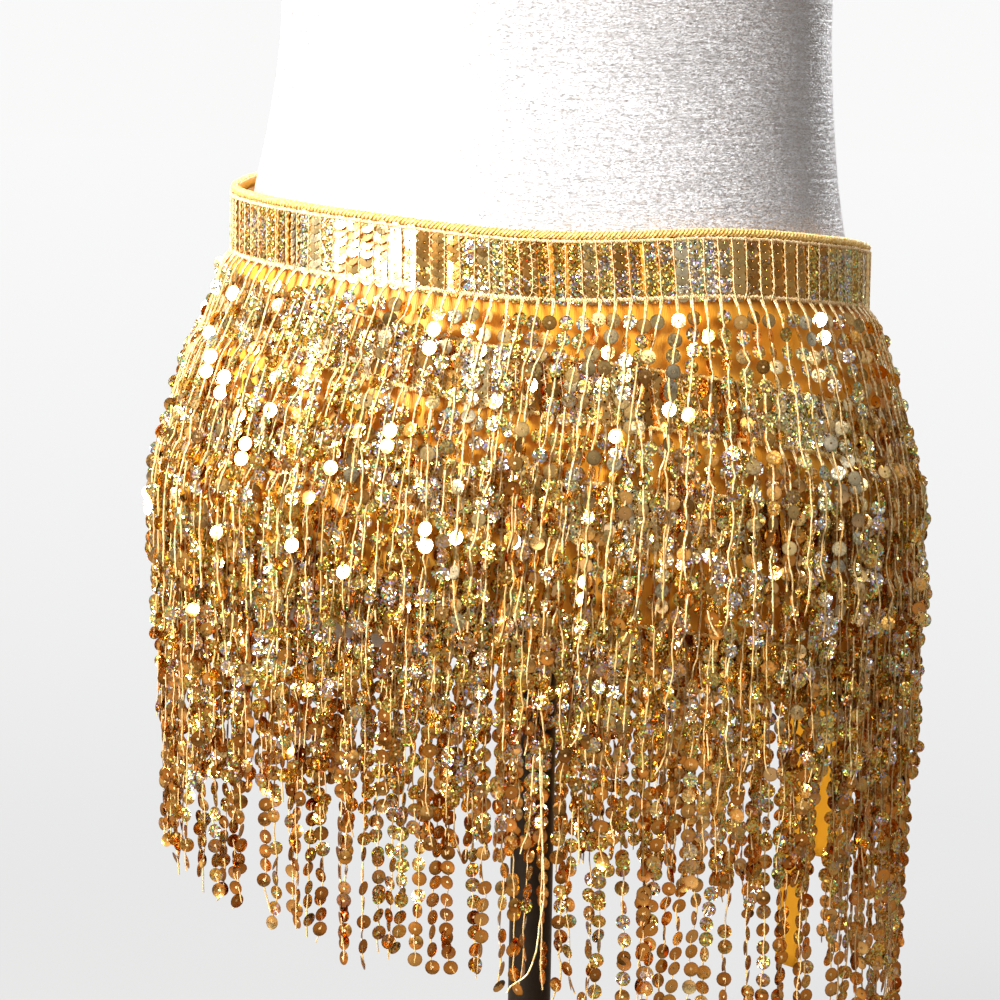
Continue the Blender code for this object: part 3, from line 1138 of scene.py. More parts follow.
@dataclass
class Strands:
    """The strands of one tier: where each thread runs, and every sequin on it.

    Lengths are in millimetres, but the thread's radius and the dish are in metres. The chances,
    flips, turned and over say how often a thing happens, and what ends in low is added to its
    namesake towards the foot of a strand. Runs of bright sequins gather to -X.
    """

    tier: int
    seed: int
    length: float = 150.0
    strand_pitch: float = 6.8
    end_margin: float = 3.0
    steps: int = 36
    fine: int = 3
    # Threads
    thread_radius: float = 0.00037
    thread_lift: float = 0.65
    kink_pitch: float = 5.6
    kink_lift: float = 0.12
    kink_aside: float = 0.65
    sway: float = 1.8
    shared_sway: float = 1.3
    trend: float = 0.8
    waves: tuple[tuple[float, float], ...] = ((0.5, 2.6), (0.28, 7.0), (0.14, 17.0))
    loose_chance: float = 0.12
    loose_times: float = 2.4
    lean_share: float = 1.0
    gather_chance: float = 0.45
    gather_length: float = 16.0
    gather_gap: float = 0.6
    layer_room: float = 1.4
    free_from: float = 150.0
    free_over: float = 60.0
    root_spread: float = 0.75
    root_length: float = 9.0
    pulled_thread: tuple[tuple[float, float], ...] = (
        (198, 0.0), (213, 0.4), (228, 1.2), (247, 2.2), (258, 2.9), (267, 3.1), (279, 1.2),
        (284, 0.9), (291, 0.0), (297, -1.7), (302, -3.8), (305, -7.4), (307, -10.9), (310, -12.7),
        (312, -13.2),
    )
    pulled_angle: float = 0.5
    pulled_out: float = 10.4
    pulled_step: float = 1.5
    # Sequins
    sequin_pitch: float = 7.4
    bare: float = 8.4
    even_until: float = 30.0
    gap_chance: float = 0.04
    gap: tuple[float, float] = (11.0, 19.0)
    slip_chance: float = 0.16
    slip: tuple[float, float] = (2.6, 4.8)
    dish: float = 0.00042
    flips: float = 0.3
    turned: float = 0.2
    turned_low: float = 0.0
    over: float = 0.16
    over_lift: float = 0.8
    bright_runs: float = 0.0
    bright_length: float = 15.0
    bright_fade: float = 50.0
    tone_shift: float = 0.0
    lively: float = 0.5
    lively_low: float = 0.0
    lively_blur: float = 0.25
    places: list = field(default_factory=list)
    frames: list = field(default_factory=list)
    tones: list = field(default_factory=list)
    glitters: list = field(default_factory=list)
    sizes: list = field(default_factory=list)
    threads: list = field(default_factory=list)
    thread_tones: list = field(default_factory=list)

    def __post_init__(self) -> None:
        """Starts the tier's random numbers."""
        self.random = np.random.default_rng(self.seed)

    def wander(self, along: Array, strength: float | Array) -> Array:
        """A slow drift along a strand that starts at nothing.

        Args:
            along: the distance down the strand at each of its points.
            strength: how far it drifts.

        Returns:
            The drift at each point.
        """
        share = along / self.length
        heights = self.random.normal(0.0, 1.0, len(self.waves) + 1)
        phases = self.random.uniform(0.0, 6.28, len(self.waves))
        drift = self.trend * heights[0] * share
        for height, phase, (wave, pace) in zip(heights[1:], phases, self.waves):
            drift = drift + wave * height * np.sin(pace * share + phase)
        return strength * (drift - drift[0])

    def kinks(self, along: Array, size: float) -> Array:
        """Small bends of a thread.

        Args:
            along: the distance down the strand at each of its points.
            size: how far a bend mostly stands out.

        Returns:
            How far each point stands out.
        """
        knots = np.arange(0.0, self.length + 12.0, self.kink_pitch)
        knots = knots + self.random.uniform(-0.25, 0.25, len(knots)) * self.kink_pitch
        return np.interp(along, knots, self.random.normal(0.0, size, len(knots)))

    def spacing(self, length: float) -> Array:
        """Spaces the sequins: mostly evenly, with slipped groups and bare thread.

        Args:
            length: the strand's length.

        Returns:
            How far down the strand each sequin sits.
        """
        found = []
        pitch = self.sequin_pitch * self.random.uniform(0.94, 1.08)
        at = self.bare + self.random.normal(0.0, 0.8)
        while at < length - 1.5:
            found.append(at)
            kind = self.random.random() + 0.2 * (at < self.even_until)
            if kind < self.gap_chance:
                at += self.random.uniform(*self.gap)
            elif kind < self.slip_chance:
                at += self.random.uniform(*self.slip)
            else:
                at += pitch * self.random.uniform(0.93, 1.05)
        return np.array(found)

    def build(self) -> None:
        """Lays every strand of the tier."""

        def edge(angle: Array) -> Array:
            """The drop of the line that the strands are sewn to."""
            return FIGURE.tier_drop(self.tier, angle)

        angles = FIGURE.even_angles(self.strand_pitch, edge, self.end_margin)
        sways = np.convolve(self.random.normal(0.0, 1.0, len(angles) + 8), np.hanning(9), "valid")
        tones = np.convolve(self.random.normal(0.0, 1.0, len(angles) + 4), np.hanning(5), "valid")
        for index, angle in enumerate(angles):
            self.lay(float(angle), float(sways[index]), float(tones[index]), index)

    def lay(self, angle: float, shared: float, tone: float, index: int) -> None:
        """Lays one strand.

        Args:
            angle: where it leaves the header.
            shared: a sway that it shares with its neighbours.
            tone: a tone that it shares with its neighbours.
            index: its number along the header.
        """
        length = self.length + self.random.normal(0.0, 2.2) - abs(self.random.normal(0.0, 2.5))
        along = np.linspace(0.0, length, self.steps * self.fine + 1)
        sideways = self.sideways(along, angle, shared)
        if self.random.random() < self.gather_chance:
            ending = along - length + self.gather_length
            gather = np.clip(ending / self.gather_length, 0.0, 1.0) ** 2
            side = 1.0 if index % 2 == 0 else -1.0
            sideways = sideways + side * gather * (self.strand_pitch / 2 - self.gather_gap)
        line, outward = self.fall(along, angle, sideways)
        down = unit(np.gradient(line, axis=0))
        level = unit(np.cross(down, outward))
        normal = self.twist(along, down, level)
        self.spin(along, line, down, level, normal)
        self.string(along, line, down, normal, length, tone)

    def sideways(self, along: Array, angle: float, shared: float) -> Array:
        """How far a strand goes to one side as it falls.

        Args:
            along: the distance down the strand at each of its points.
            angle: where it leaves the header.
            shared: a sway that it shares with its neighbours.

        Returns:
            The distance at each point.
        """
        share = along / self.length
        loose = self.loose_times if self.random.random() < self.loose_chance else 1.0
        sideways = self.wander(along, self.sway * loose)
        sideways = sideways + self.shared_sway * shared * share**1.3
        fallen = np.clip(share * 1.25, 0.0, 1.0)
        lean = self.lean_share * float(FIGURE.drift.read(angle_from_front(angle), "lean"))
        return sideways + lean * fallen * (2.0 - fallen)

    def fall(self, along: Array, angle: float, sideways: Array) -> tuple[Array, Array]:
        """Hangs a strand over the tiers below it.

        Args:
            along: the distance down the strand at each of its points.
            angle: where it leaves the header.
            sideways: how far each point is to one side.

        Returns:
            The points, and the level direction out of the scarf at each.
        """
        drop = float(FIGURE.tier_drop(self.tier, np.array(angle))) + along
        bend = 0.35
        per_degree = np.linalg.norm(
            FIGURE.cloth(angle + bend, drop, 2.0) - FIGURE.cloth(angle - bend, drop, 2.0), axis=-1
        ) / (2 * bend * MM)
        angles = angle + sideways / per_degree
        free = np.clip((drop - self.free_from) / self.free_over, 0.0, 1.0)
        near_root = np.clip(along / self.length * 3, 0, 1)
        out = FIGURE.layer_out(self.tier, angles, drop) + self.layer_room
        out = out + self.wander(along, 0.35 + 1.0 * free.mean()) * near_root
        out = np.maximum(out, FIGURE.cloth_wall + 0.6)
        return FIGURE.cloth(angles, drop, out), FIGURE.outward(angles, drop)

    def twist(self, along: Array, down: Array, level: Array) -> Array:
        """Twists a strand, and turns some strands right over on their way down.

        Args:
            along: the distance down the strand at each of its points.
            down: the strand's direction at each point.
            level: the level direction across it at each.

        Returns:
            Which way a sequin would face at each point.
        """
        share = along / self.length
        face = unit(np.cross(level, down))
        twist = self.wander(along, 0.30 + 0.35 * share) + self.random.normal(0.0, 0.16)
        if self.random.random() < self.flips:
            turned = self.random.uniform(0.05, 0.75)
            over = np.clip((share - turned) * 8, 0, 1)
            twist = twist + math.pi * self.random.choice([-1, 1]) * over
        return face * np.cos(twist)[:, None] + level * np.sin(twist)[:, None]

    def spin(self, along: Array, line: Array, down: Array, level: Array, normal: Array) -> None:
        """Lays a strand's thread over its sequins, and the second end that is sewn in at its root.

        Args:
            along: the distance down the strand at each of its points.
            line: the points.
            down: the strand's direction at each point.
            level: the level direction across it at each.
            normal: which way a sequin would face at each.
        """
        sewn = np.clip(along / 6.0, 0.0, 1.0)
        lift = self.thread_lift * sewn + np.abs(self.kinks(along, self.kink_lift))
        aside = self.kinks(along, self.kink_aside) * sewn
        flat = np.cross(down, normal)
        thread = line + (normal * lift[:, None] + flat * aside[:, None]) * MM
        # the thread's tone: partly random, partly painted shade that darkens it towards the strand's foot
        thread_tone_and_shade = np.clip(self.random.uniform(-0.3, 0.55) + 0.45 * along / self.length, 0.0, 0.9)
        self.threads.append(thread[:: self.fine])
        self.thread_tones.append(thread_tone_and_shade[:: self.fine])
        root = slice(0, int(np.searchsorted(along, self.random.uniform(7.0, 12.0))), self.fine)
        apart = self.root_spread * np.clip(1.0 - along[root] / self.root_length, 0.0, 1.0) + 0.12
        self.threads.append(thread[root] + level[root] * apart[:, None] * MM)
        self.thread_tones.append(thread_tone_and_shade[root])

    def trail(self) -> None:
        """Lays the one bare thread that has pulled out at the front and hangs below its tier."""
        drops, sideways = np.array(self.pulled_thread).T
        fine = np.arange(drops[0], drops[-1], self.pulled_step)
        aside = np.interp(fine, drops, sideways)[:, None] * np.array([1.0, 0.0, 0.0])
        self.threads.append(FIGURE.cloth(self.pulled_angle, fine, self.pulled_out) + aside * MM)
        self.thread_tones.append(np.zeros(len(fine)))

    def string(
        self, along: Array, line: Array, down: Array, normal: Array, length: float, tone: float
    ) -> None:
        """Strings one strand's sequins.

        Args:
            along: the distance down the strand at each of its points.
            line: the points.
            down: the strand's direction at each point.
            normal: which way a sequin would face at each point.
            length: the strand's length.
            tone: a tone that it shares with its neighbours.
        """
        base_tone = np.clip(0.5 + 0.22 * tone + self.random.normal(0.0, 0.16), 0.0, 1.0)
        base_glitter = self.random.random()
        chance = self.bright_runs * (1.0 - 0.75 * math.tanh(line[0][0] / MM / self.bright_fade))
        run_start = 0.85 * self.random.uniform(0.0, length) if self.random.random() < chance else -length
        for at in self.spacing(length):
            here = min(int(np.searchsorted(along, at)), len(along) - 1)
            share = at / self.length
            lean = self.random.normal(0.05, 0.12)
            spin = self.random.normal(0.0, 0.12 + 0.16 * share)
            if self.random.random() < self.turned + self.turned_low * share:
                spin += self.random.choice([-1, 1]) * self.random.uniform(0.6, 1.4)
            face = normal[here] + down[here] * -lean
            side = unit(np.cross(-down[here], face))
            face = unit(face + side * math.tan(max(-1.3, min(1.3, spin))))
            bright = run_start < at < run_start + self.bright_length and face @ BRIGHT_WAY > 0.6
            if bright:
                face = unit(BRIGHT_WAY + self.random.normal(0.0, 0.035, 3))
            side = unit(np.cross(-down[here], face))
            self.frames.append(np.stack([side, np.cross(face, side), face], axis=1))
            above = bright or self.random.random() < self.over
            over = self.thread_lift + self.over_lift if above else 0.0
            aside = side * self.random.normal(0.0, 0.25) + normal[here] * over
            self.places.append(line[here] + aside * MM)
            mixed = 0.6 * base_tone + 0.4 * self.random.random()
            self.tones.append(np.clip(mixed + self.tone_shift, 0, 1))
            spark = 0.55 * base_glitter + 0.45 * self.random.random()
            lively = self.lively + self.lively_low * share
            shown = np.clip((spark - (1.0 - lively)) / self.lively_blur, 0.0, 1.0)
            self.glitters.append(0.0 if bright else 0.10 * self.random.random() + 0.9 * shown)
            self.sizes.append(self.random.uniform(0.97, 1.03))


@dataclass
class Maker:
    """A maker of pieces, with every finish and both trees at hand.

    The scatter tree sets sequins on points, and the spin tree makes threads. Lengths are in
    millimetres, but a thread's radius is in metres.
    """

    finishes: Finishes
    scatter: Tree
    spin: Tree

    def cut(
        self, mesh: bpy.types.Mesh, wall: float, finish: bpy.types.Material | None = None
    ) -> bpy.types.Object:
        """Makes a sheet and gives it its thickness, outwards.

        Args:
            mesh: the inner face of the sheet.
            wall: its thickness.
            finish: its finish, if it isn't the satin.

        Returns:
            The sheet, whose thickness is in its mesh.
        """
        piece = add_object(mesh.name, mesh, finish or self.finishes.satin)
        solid = piece.modifiers.new("wall", "SOLIDIFY")
        solid.thickness = wall * MM
        solid.offset = 1.0
        solid.use_even_offset = False
        ready = piece.evaluated_get(bpy.context.evaluated_depsgraph_get())
        thick = bpy.data.meshes.new_from_object(ready)
        piece.modifiers.remove(solid)
        thick.name = mesh.name
        piece.data = thick
        bpy.data.meshes.remove(mesh)
        return piece


@dataclass
class FringeTier(Maker):
    """One tier's fringe: its threads, and its sequins."""

    strands: Strands

    def build(self) -> list[bpy.types.Object]:
        """Makes the fringe.

        Returns:
            The sequins and the threads.
        """
        strands, tier = self.strands, self.strands.tier
        strands.build()
        if tier == 2:
            strands.trail()
        shape = Sequin(swell=strands.dish).build()
        start = points_mesh(
            "sequin_places",
            strands.places,
            strands.frames,
            {"tone": strands.tones, "glitter": strands.glitters, "size": strands.sizes},
        )
        values = {"Shape": shape, "Flutter": 0.05, "Seed": tier, "Finish": self.finishes.sequin}
        sequins = self.scatter.run(f"fringe_{tier}_sequins", start, values)
        bpy.data.objects.remove(shape)
        # the lower tiers take the darker thread, as painted shade
        yarn = self.finishes.yarn if tier < 3 else self.finishes.low_yarn
        values = {"Radius": strands.thread_radius, "Sides": 4, "Finish": yarn}
        lines = lines_mesh("strand_lines", strands.threads, strands.thread_tones)
        threads = self.spin.run(f"fringe_{tier}_threads", lines, values)
        finish_piece(sequins, [f"fringe_{tier}"])
        finish_piece(threads)
        return [sequins, threads]


# ---- Headers, binding and ground cloth ----


@dataclass
class Header(Maker):
    """The strip at the head of a tier: a tape, columns of overlapping sequins and their stitching.

    On the first tier, the columns from lit_from to lit_to across the front throw the light
    together.
    """

    tier: int
    seed: int
    column_pitch: float = 6.7
    column_line: float = 13.0
    end_margin: float = 3.2
    row_pitch: float = 3.85
    rows: int = 7
    top_margin: float = 2.4
    tape_wall: float = 0.5
    sequin_out: float = 0.75
    slant_most: float = 2.4
    slant_from: float = -25.0
    slant_over: float = 50.0
    spin_spread: float = 0.10
    lean: float = 0.15
    tone: float = 0.48
    tone_drift: float = 0.2
    tone_spread: float = 0.19
    plain_share: float = 0.38
    lit_from: float = -92.0
    lit_to: float = -69.0
    lit_spread: float = 0.11
    stitch_radius: float = 0.00028
    zigzag_width: float = 2.2
    chain_pitch: float = 2.3
    chain_radius: float = 0.00050

    def tape(self) -> bpy.types.Object:
        """Makes the tape that the sequins are sewn to.

        Returns:
            The tape.
        """
        figure = FIGURE
        angles = figure.wrap_angles(220)
        edge = figure.tier_drop(self.tier, angles)
        shares = np.linspace(0.0, 1.0, 5)
        drops = edge[:, None] - figure.header_height * (1 - shares[None, :])
        points = figure.cloth(angles[:, None], drops, figure.cloth_wall + figure.touch)
        across = np.linspace(0.0, 0.9, len(angles))
        mesh = grid_mesh(f"header_{self.tier}_tape", points, across, drops * MM)
        return self.cut(mesh, self.tape_wall)

    def column_drop(self, angle: Array) -> Array:
        """The drop of the line that the columns are counted on."""
        return FIGURE.tier_drop(self.tier, angle) - self.column_line

    def columns(self) -> Array:
        """The angles of the columns of sequins."""
        return FIGURE.even_angles(self.column_pitch, self.column_drop, self.end_margin)

    def slant(self, angle: float) -> float:
        """How far a column leans over its height: more towards the tie."""
        share = (angle_from_front(angle) - self.slant_from) / self.slant_over
        return self.slant_most * float(np.clip(share, 0.0, 1.0))

    def sequins(self) -> bpy.types.Object:
        """Sews the columns of sequins, each turned a little differently from the next.

        Returns:
            The sequins.
        """
        figure = FIGURE
        random = np.random.default_rng(self.seed)
        angles = self.columns()
        places, frames, tones, glitters, sizes = [], [], [], [], []
        drift = np.convolve(random.normal(0.0, 1.0, len(angles) + 6), np.hanning(7), "valid")
        for angle, trend in zip(angles, drift):
            edge = float(figure.tier_drop(self.tier, np.array(angle)))
            column_spin = self.spin_spread * trend + random.normal(0.0, self.spin_spread)
            column_tone = self.tone + self.tone_drift * trend + random.normal(0.0, self.tone_spread)
            column_tone = np.clip(column_tone, 0, 1)
            column_glitter = random.random()
            across = float(figure.cloth(np.array(angle), np.array(edge), 0.0)[0]) / MM
            lit = self.tier == 1 and self.lit_from < across < self.lit_to
            lit = lit and abs(angle_from_front(angle)) < 90
            slant = self.slant(angle) + random.normal(0.0, 0.3)
            for row in range(self.rows):
                drop = edge - figure.header_height + self.top_margin + self.row_pitch * row
                aside = angle + slant * (row / self.rows - 0.5) / MM_PER_DEGREE
                outward = figure.outward(np.array(aside), np.array(drop))
                out = figure.cloth_wall + figure.touch + self.tape_wall + self.sequin_out
                places.append(figure.cloth(np.array(aside), np.array(drop), out))
                side = np.cross([0.0, 0.0, 1.0], outward)
                spin = column_spin + random.normal(0.0, 0.03)
                lean = self.lean + random.normal(0.0, 0.025)
                face = unit(outward + side * spin + np.array([0.0, 0.0, lean]))
                if lit:
                    face = unit(BRIGHT_WAY + random.normal(0.0, self.lit_spread, 3))
                side = unit(np.cross([0.0, 0.0, 1.0], face))
                frames.append(np.stack([side, np.cross(face, side), face], axis=1))
                tones.append(np.clip(0.85 * column_tone + 0.2 * random.random(), 0, 1))
                spark = 0.75 * column_glitter + 0.3 * random.random() - lit
                glitters.append(0.9 * np.clip((spark - self.plain_share) / 0.2, 0.0, 1.0))
                sizes.append(random.uniform(0.97, 1.0))
        numbers = {"tone": tones, "glitter": glitters, "size": sizes}
        start = points_mesh("sequin_places", places, frames, numbers)
        sides = 10 if self.tier == 1 else 8
        shape = Sequin(sewn=True, swell=0.00012, hole=0.00062, sides=sides).build()
        finish = self.finishes.sequin
        values = {"Shape": shape, "Flutter": 0.02, "Seed": 20 + self.tier, "Finish": finish}
        piece = self.scatter.run(f"header_{self.tier}_sequins", start, values)
        bpy.data.objects.remove(shape)
        return piece

    def stitching(self) -> list[bpy.types.Object]:
        """Sews a thread and a zigzag beside each column, and binds the strip's edges.

        Returns:
            The stitching and the edging.
        """
        figure = FIGURE
        random = np.random.default_rng(self.seed + 100)
        lines = []
        out = figure.cloth_wall + figure.touch + self.tape_wall
        top = -figure.header_height
        for angle in self.columns():
            edge = float(figure.tier_drop(self.tier, np.array(angle)))
            shares = np.linspace(0.0, 1.0, 8)
            lean = self.slant(angle) * (shares - 0.5)
            side = 3.4 + 0.2 * np.sin(shares * 5.0 + random.uniform(0, 6)) - lean
            beside = angle - side / MM_PER_DEGREE
            beside = beside + 0.8 * np.clip(shares - 0.84, 0, 1) / 0.16 * random.uniform(-1.0, 1.0)
            drops = edge + top + (figure.header_height + 0.4) * shares
            lines.append(figure.cloth(beside, drops, out + 1.45))
            turns = np.arange(0, 2 * self.rows + 1)
            drops = edge + top + 1.6 + turns * self.row_pitch / 2
            side = 2.0 + self.zigzag_width * (turns % 2)
            side = side - self.slant(angle) * (turns / turns[-1] - 0.5)
            across = angle - side / MM_PER_DEGREE + random.normal(0.0, 0.06, len(turns))
            lines.append(figure.cloth(across, np.minimum(drops, edge - 1.0), out + 1.15))
        values = {"Radius": self.stitch_radius, "Sides": 3, "Finish": self.finishes.yarn}
        name = f"header_{self.tier}_stitching"
        sewn = self.spin.run(name, lines_mesh("stitch_lines", lines), values)
        edges = []
        pitch = self.chain_pitch / 3
        fine = figure.even_angles(pitch, lambda at: figure.tier_drop(self.tier, at), 0.5)
        beat = np.arange(len(fine)) * math.pi * 2 / 3
        edge = figure.tier_drop(self.tier, fine)
        for base, width in ((0.0, 0.95), (top + 1.1, 0.7)):
            loose = random.normal(0.0, 0.16, len(fine))
            for phase in (0.0, math.pi):
                drops = edge + base - 0.5 + width * np.sin(beat + phase) + loose
                outs = out + 0.9 + 0.35 * np.cos(beat + phase) + 0.5 * np.abs(loose)
                edges.append(figure.cloth(fine, drops, outs))
        chain = self.finishes.chain if self.tier == 1 else self.finishes.edging
        values = {"Radius": self.chain_radius, "Sides": 3, "Finish": chain}
        name = f"header_{self.tier}_edging"
        return [sewn, self.spin.run(name, lines_mesh("edge_lines", edges), values)]

    def build(self, fringe: list[bpy.types.Object]) -> None:
        """Makes the header: its tape, its sequins and their stitching.

        Args:
            fringe: the pieces of the fringe that hangs from it; not used.
        """
        tape = self.tape()
        sequins = self.sequins()
        stitching = self.stitching()
        finish_piece(tape, [f"header_{self.tier}"])
        finish_piece(sequins)
        for piece in stitching:
            finish_piece(piece)
        declare_sheet(tape)


def declare_sheet(
    piece: bpy.types.Object,
    flat: tuple[float, float] | None = None,
) -> None:
    """Works out the flat size of a sheet of cloth, and does nothing more with it.

    Args:
        piece: the sheet.
        flat: its flat size in metres. Left out, it is that of a strip cut along the scarf.
    """
    if flat is None:
        area = sum(face.area for face in piece.data.polygons) / 2
        places = np.array([vertex.co for vertex in piece.data.vertices])
        size = places.max(axis=0) - places.min(axis=0)
        girth = math.pi * (size[0] + size[1]) / 2
        flat = (round(area / girth, 4), round(girth, 3))


@dataclass
class GroundWrap(Maker):
    """The satin wrap under the tiers, with the puckers and folds of its wear.

    A crease's row gives its middle (angle, drop), how wide and long it is, how far it lifts or
    sinks, all in millimetres but the angle, and how much it slants, in degrees a millimetre.
    """

    columns: int = 260
    rows: int = 34
    wall: float = 0.9
    rest_out: float = 0.15
    lift_share: float = 0.4
    most_out: float = 0.45
    flat_above: float = 8.0
    creases: tuple[tuple[float, float, float, float, float, float], ...] = (
        (-78, 14, 5.0, 30, 0.7, 0.10), (-64, 20, 4.0, 26, -0.5, -0.08),
        (-41, 16, 6.0, 34, 0.7, 0.06), (-22, 22, 5.0, 30, -0.6, 0.05),
        (-8, 26, 6.5, 38, 0.6, 0.04), (6, 30, 5.0, 34, -0.5, -0.06),
        (19, 32, 7.0, 44, 0.8, 0.05), (28, 26, 4.0, 30, -0.6, -0.04),
        (38, 36, 6.0, 46, 0.8, 0.07), (50, 34, 4.5, 40, -0.6, 0.05),
        (62, 38, 7.0, 48, 0.9, -0.05), (76, 32, 5.0, 40, -0.5, 0.06),
        (98, 40, 7.0, 60, 0.8, 0.05), (150, 44, 8.0, 64, 0.8, -0.04),
        (178, 50, 6.0, 60, -0.5, 0.05), (205, 48, 8.0, 60, 0.8, 0.06),
        (236, 40, 6.0, 50, -0.5, -0.05), (262, 30, 7.0, 46, 0.7, 0.05),
    )

    def ripple(self, angle: Array, drop: Array) -> Array:
        """How far the creases lift the cloth.

        Args:
            angle: the angles of the places.
            drop: their drops.

        Returns:
            The lift at each place.
        """
        lift = np.zeros(np.broadcast(angle, drop).shape)
        for middle, depth, width, length, height, slant in self.creases:
            away = (angle - middle - slant * (drop - depth) + 180.0) % 360.0 - 180.0
            across = away * 2.5 / width
            down = (drop - depth) / length
            lift = lift + height * np.exp(-(across**2)) * np.exp(-((down * 1.6) ** 4))
        return lift

    def build(self) -> bpy.types.Object:
        """Makes the wrap.

        Returns:
            The wrap.
        """
        figure = FIGURE
        angles = figure.wrap_angles(self.columns)
        hem = figure.tier_drop(4, angles)
        shares = np.linspace(0.0, 1.0, self.rows)
        drops = -figure.header_height + (hem + figure.header_height)[:, None] * shares[None, :]
        lift = self.ripple(angles[:, None], drops) * np.clip(drops / self.flat_above, 0.0, 1.0)
        outs = np.minimum(self.rest_out + self.lift_share * lift, self.most_out)
        points = figure.cloth(angles[:, None], drops, outs)
        mesh = grid_mesh("ground_wrap", points, np.linspace(0.0, 0.92, len(angles)), drops * MM)
        return finish_piece(self.cut(mesh, self.wall), ["ground_cloth"])


@dataclass
class Binding(Maker):
    """The rolled top edge, wrapped all along with slanting stitches."""

    radius: float = 1.5
    roll_out: float = 1.35
    roll_rise: float = 1.8
    sides: int = 10
    wrap_pitch: float = 1.9
    wrap_steps: int = 7
    wrap_radius: float = 0.00070
    wrap_slant: float = 0.5
    facing_out: float = -0.95
    facing_wall: float = 0.2

    def facing(self) -> bpy.types.Object:
        """Makes the satin facing that covers the roll on its inner side.

        Returns:
            The facing.
        """
        figure = FIGURE
        angles = figure.wrap_angles(220)
        drops = -figure.header_height - np.array([3.6, 2.4, 0.6, -2.0])
        outs = self.facing_out + np.array([0.45, 0.0, 0.0, 0.7])
        points = figure.cloth(angles[:, None], drops[None, :], outs[None, :])
        mesh = grid_mesh("binding_facing", points, np.linspace(0.0, 0.92, len(angles)), drops * MM)
        return finish_piece(self.cut(mesh, self.facing_wall))

    def around(self, angles: Array, turn: Array) -> Array:
        """Points round the roll, at a turn of its section."""
        height = FIGURE.header_height + FIGURE.touch + self.roll_rise + self.radius * np.sin(turn)
        return FIGURE.cloth(angles, -height, self.roll_out + self.radius * np.cos(turn))

    def build(self) -> list[bpy.types.Object]:
        """Makes the roll and the thread that is wrapped round it.

        Returns:
            The roll, the thread and the facing.
        """
        figure = FIGURE
        angles = figure.wrap_angles(320)
        turns = np.linspace(0.0, 2 * math.pi, self.sides, endpoint=False)
        rings = self.around(angles[:, None], turns[None, :])
        work = bmesh.new()
        loops = [[work.verts.new(point) for point in ring] for ring in rings.tolist()]
        for first, second in zip(loops, loops[1:]):
            for side in range(self.sides):
                after = (side + 1) % self.sides
                work.faces.new((first[side], first[after], second[after], second[side]))
        work.faces.new(loops[0])
        work.faces.new(loops[-1])
        mesh = bpy.data.meshes.new("binding_roll")
        settle(work, mesh)
        roll = add_object("binding_roll", mesh, self.finishes.edging)

        def top(angle: Array) -> Array:
            """The drop of the band's upper edge."""
            return np.full_like(np.asarray(angle, float), -figure.header_height)

        fine = figure.even_angles(self.wrap_pitch / self.wrap_steps, top, 0.6)
        coil = np.arange(len(fine)) * 2 * math.pi / self.wrap_steps
        line = lines_mesh("wrap_line", [self.around(fine + self.wrap_slant * np.sin(coil), coil)])
        values = {"Radius": self.wrap_radius, "Sides": 4, "Finish": self.finishes.edging}
        thread = self.spin.run("binding_wraps", line, values)
        finish_piece(roll, ["waist_binding"])
        finish_piece(thread)
        return [roll, thread, self.facing()]


# ---- The tie ----


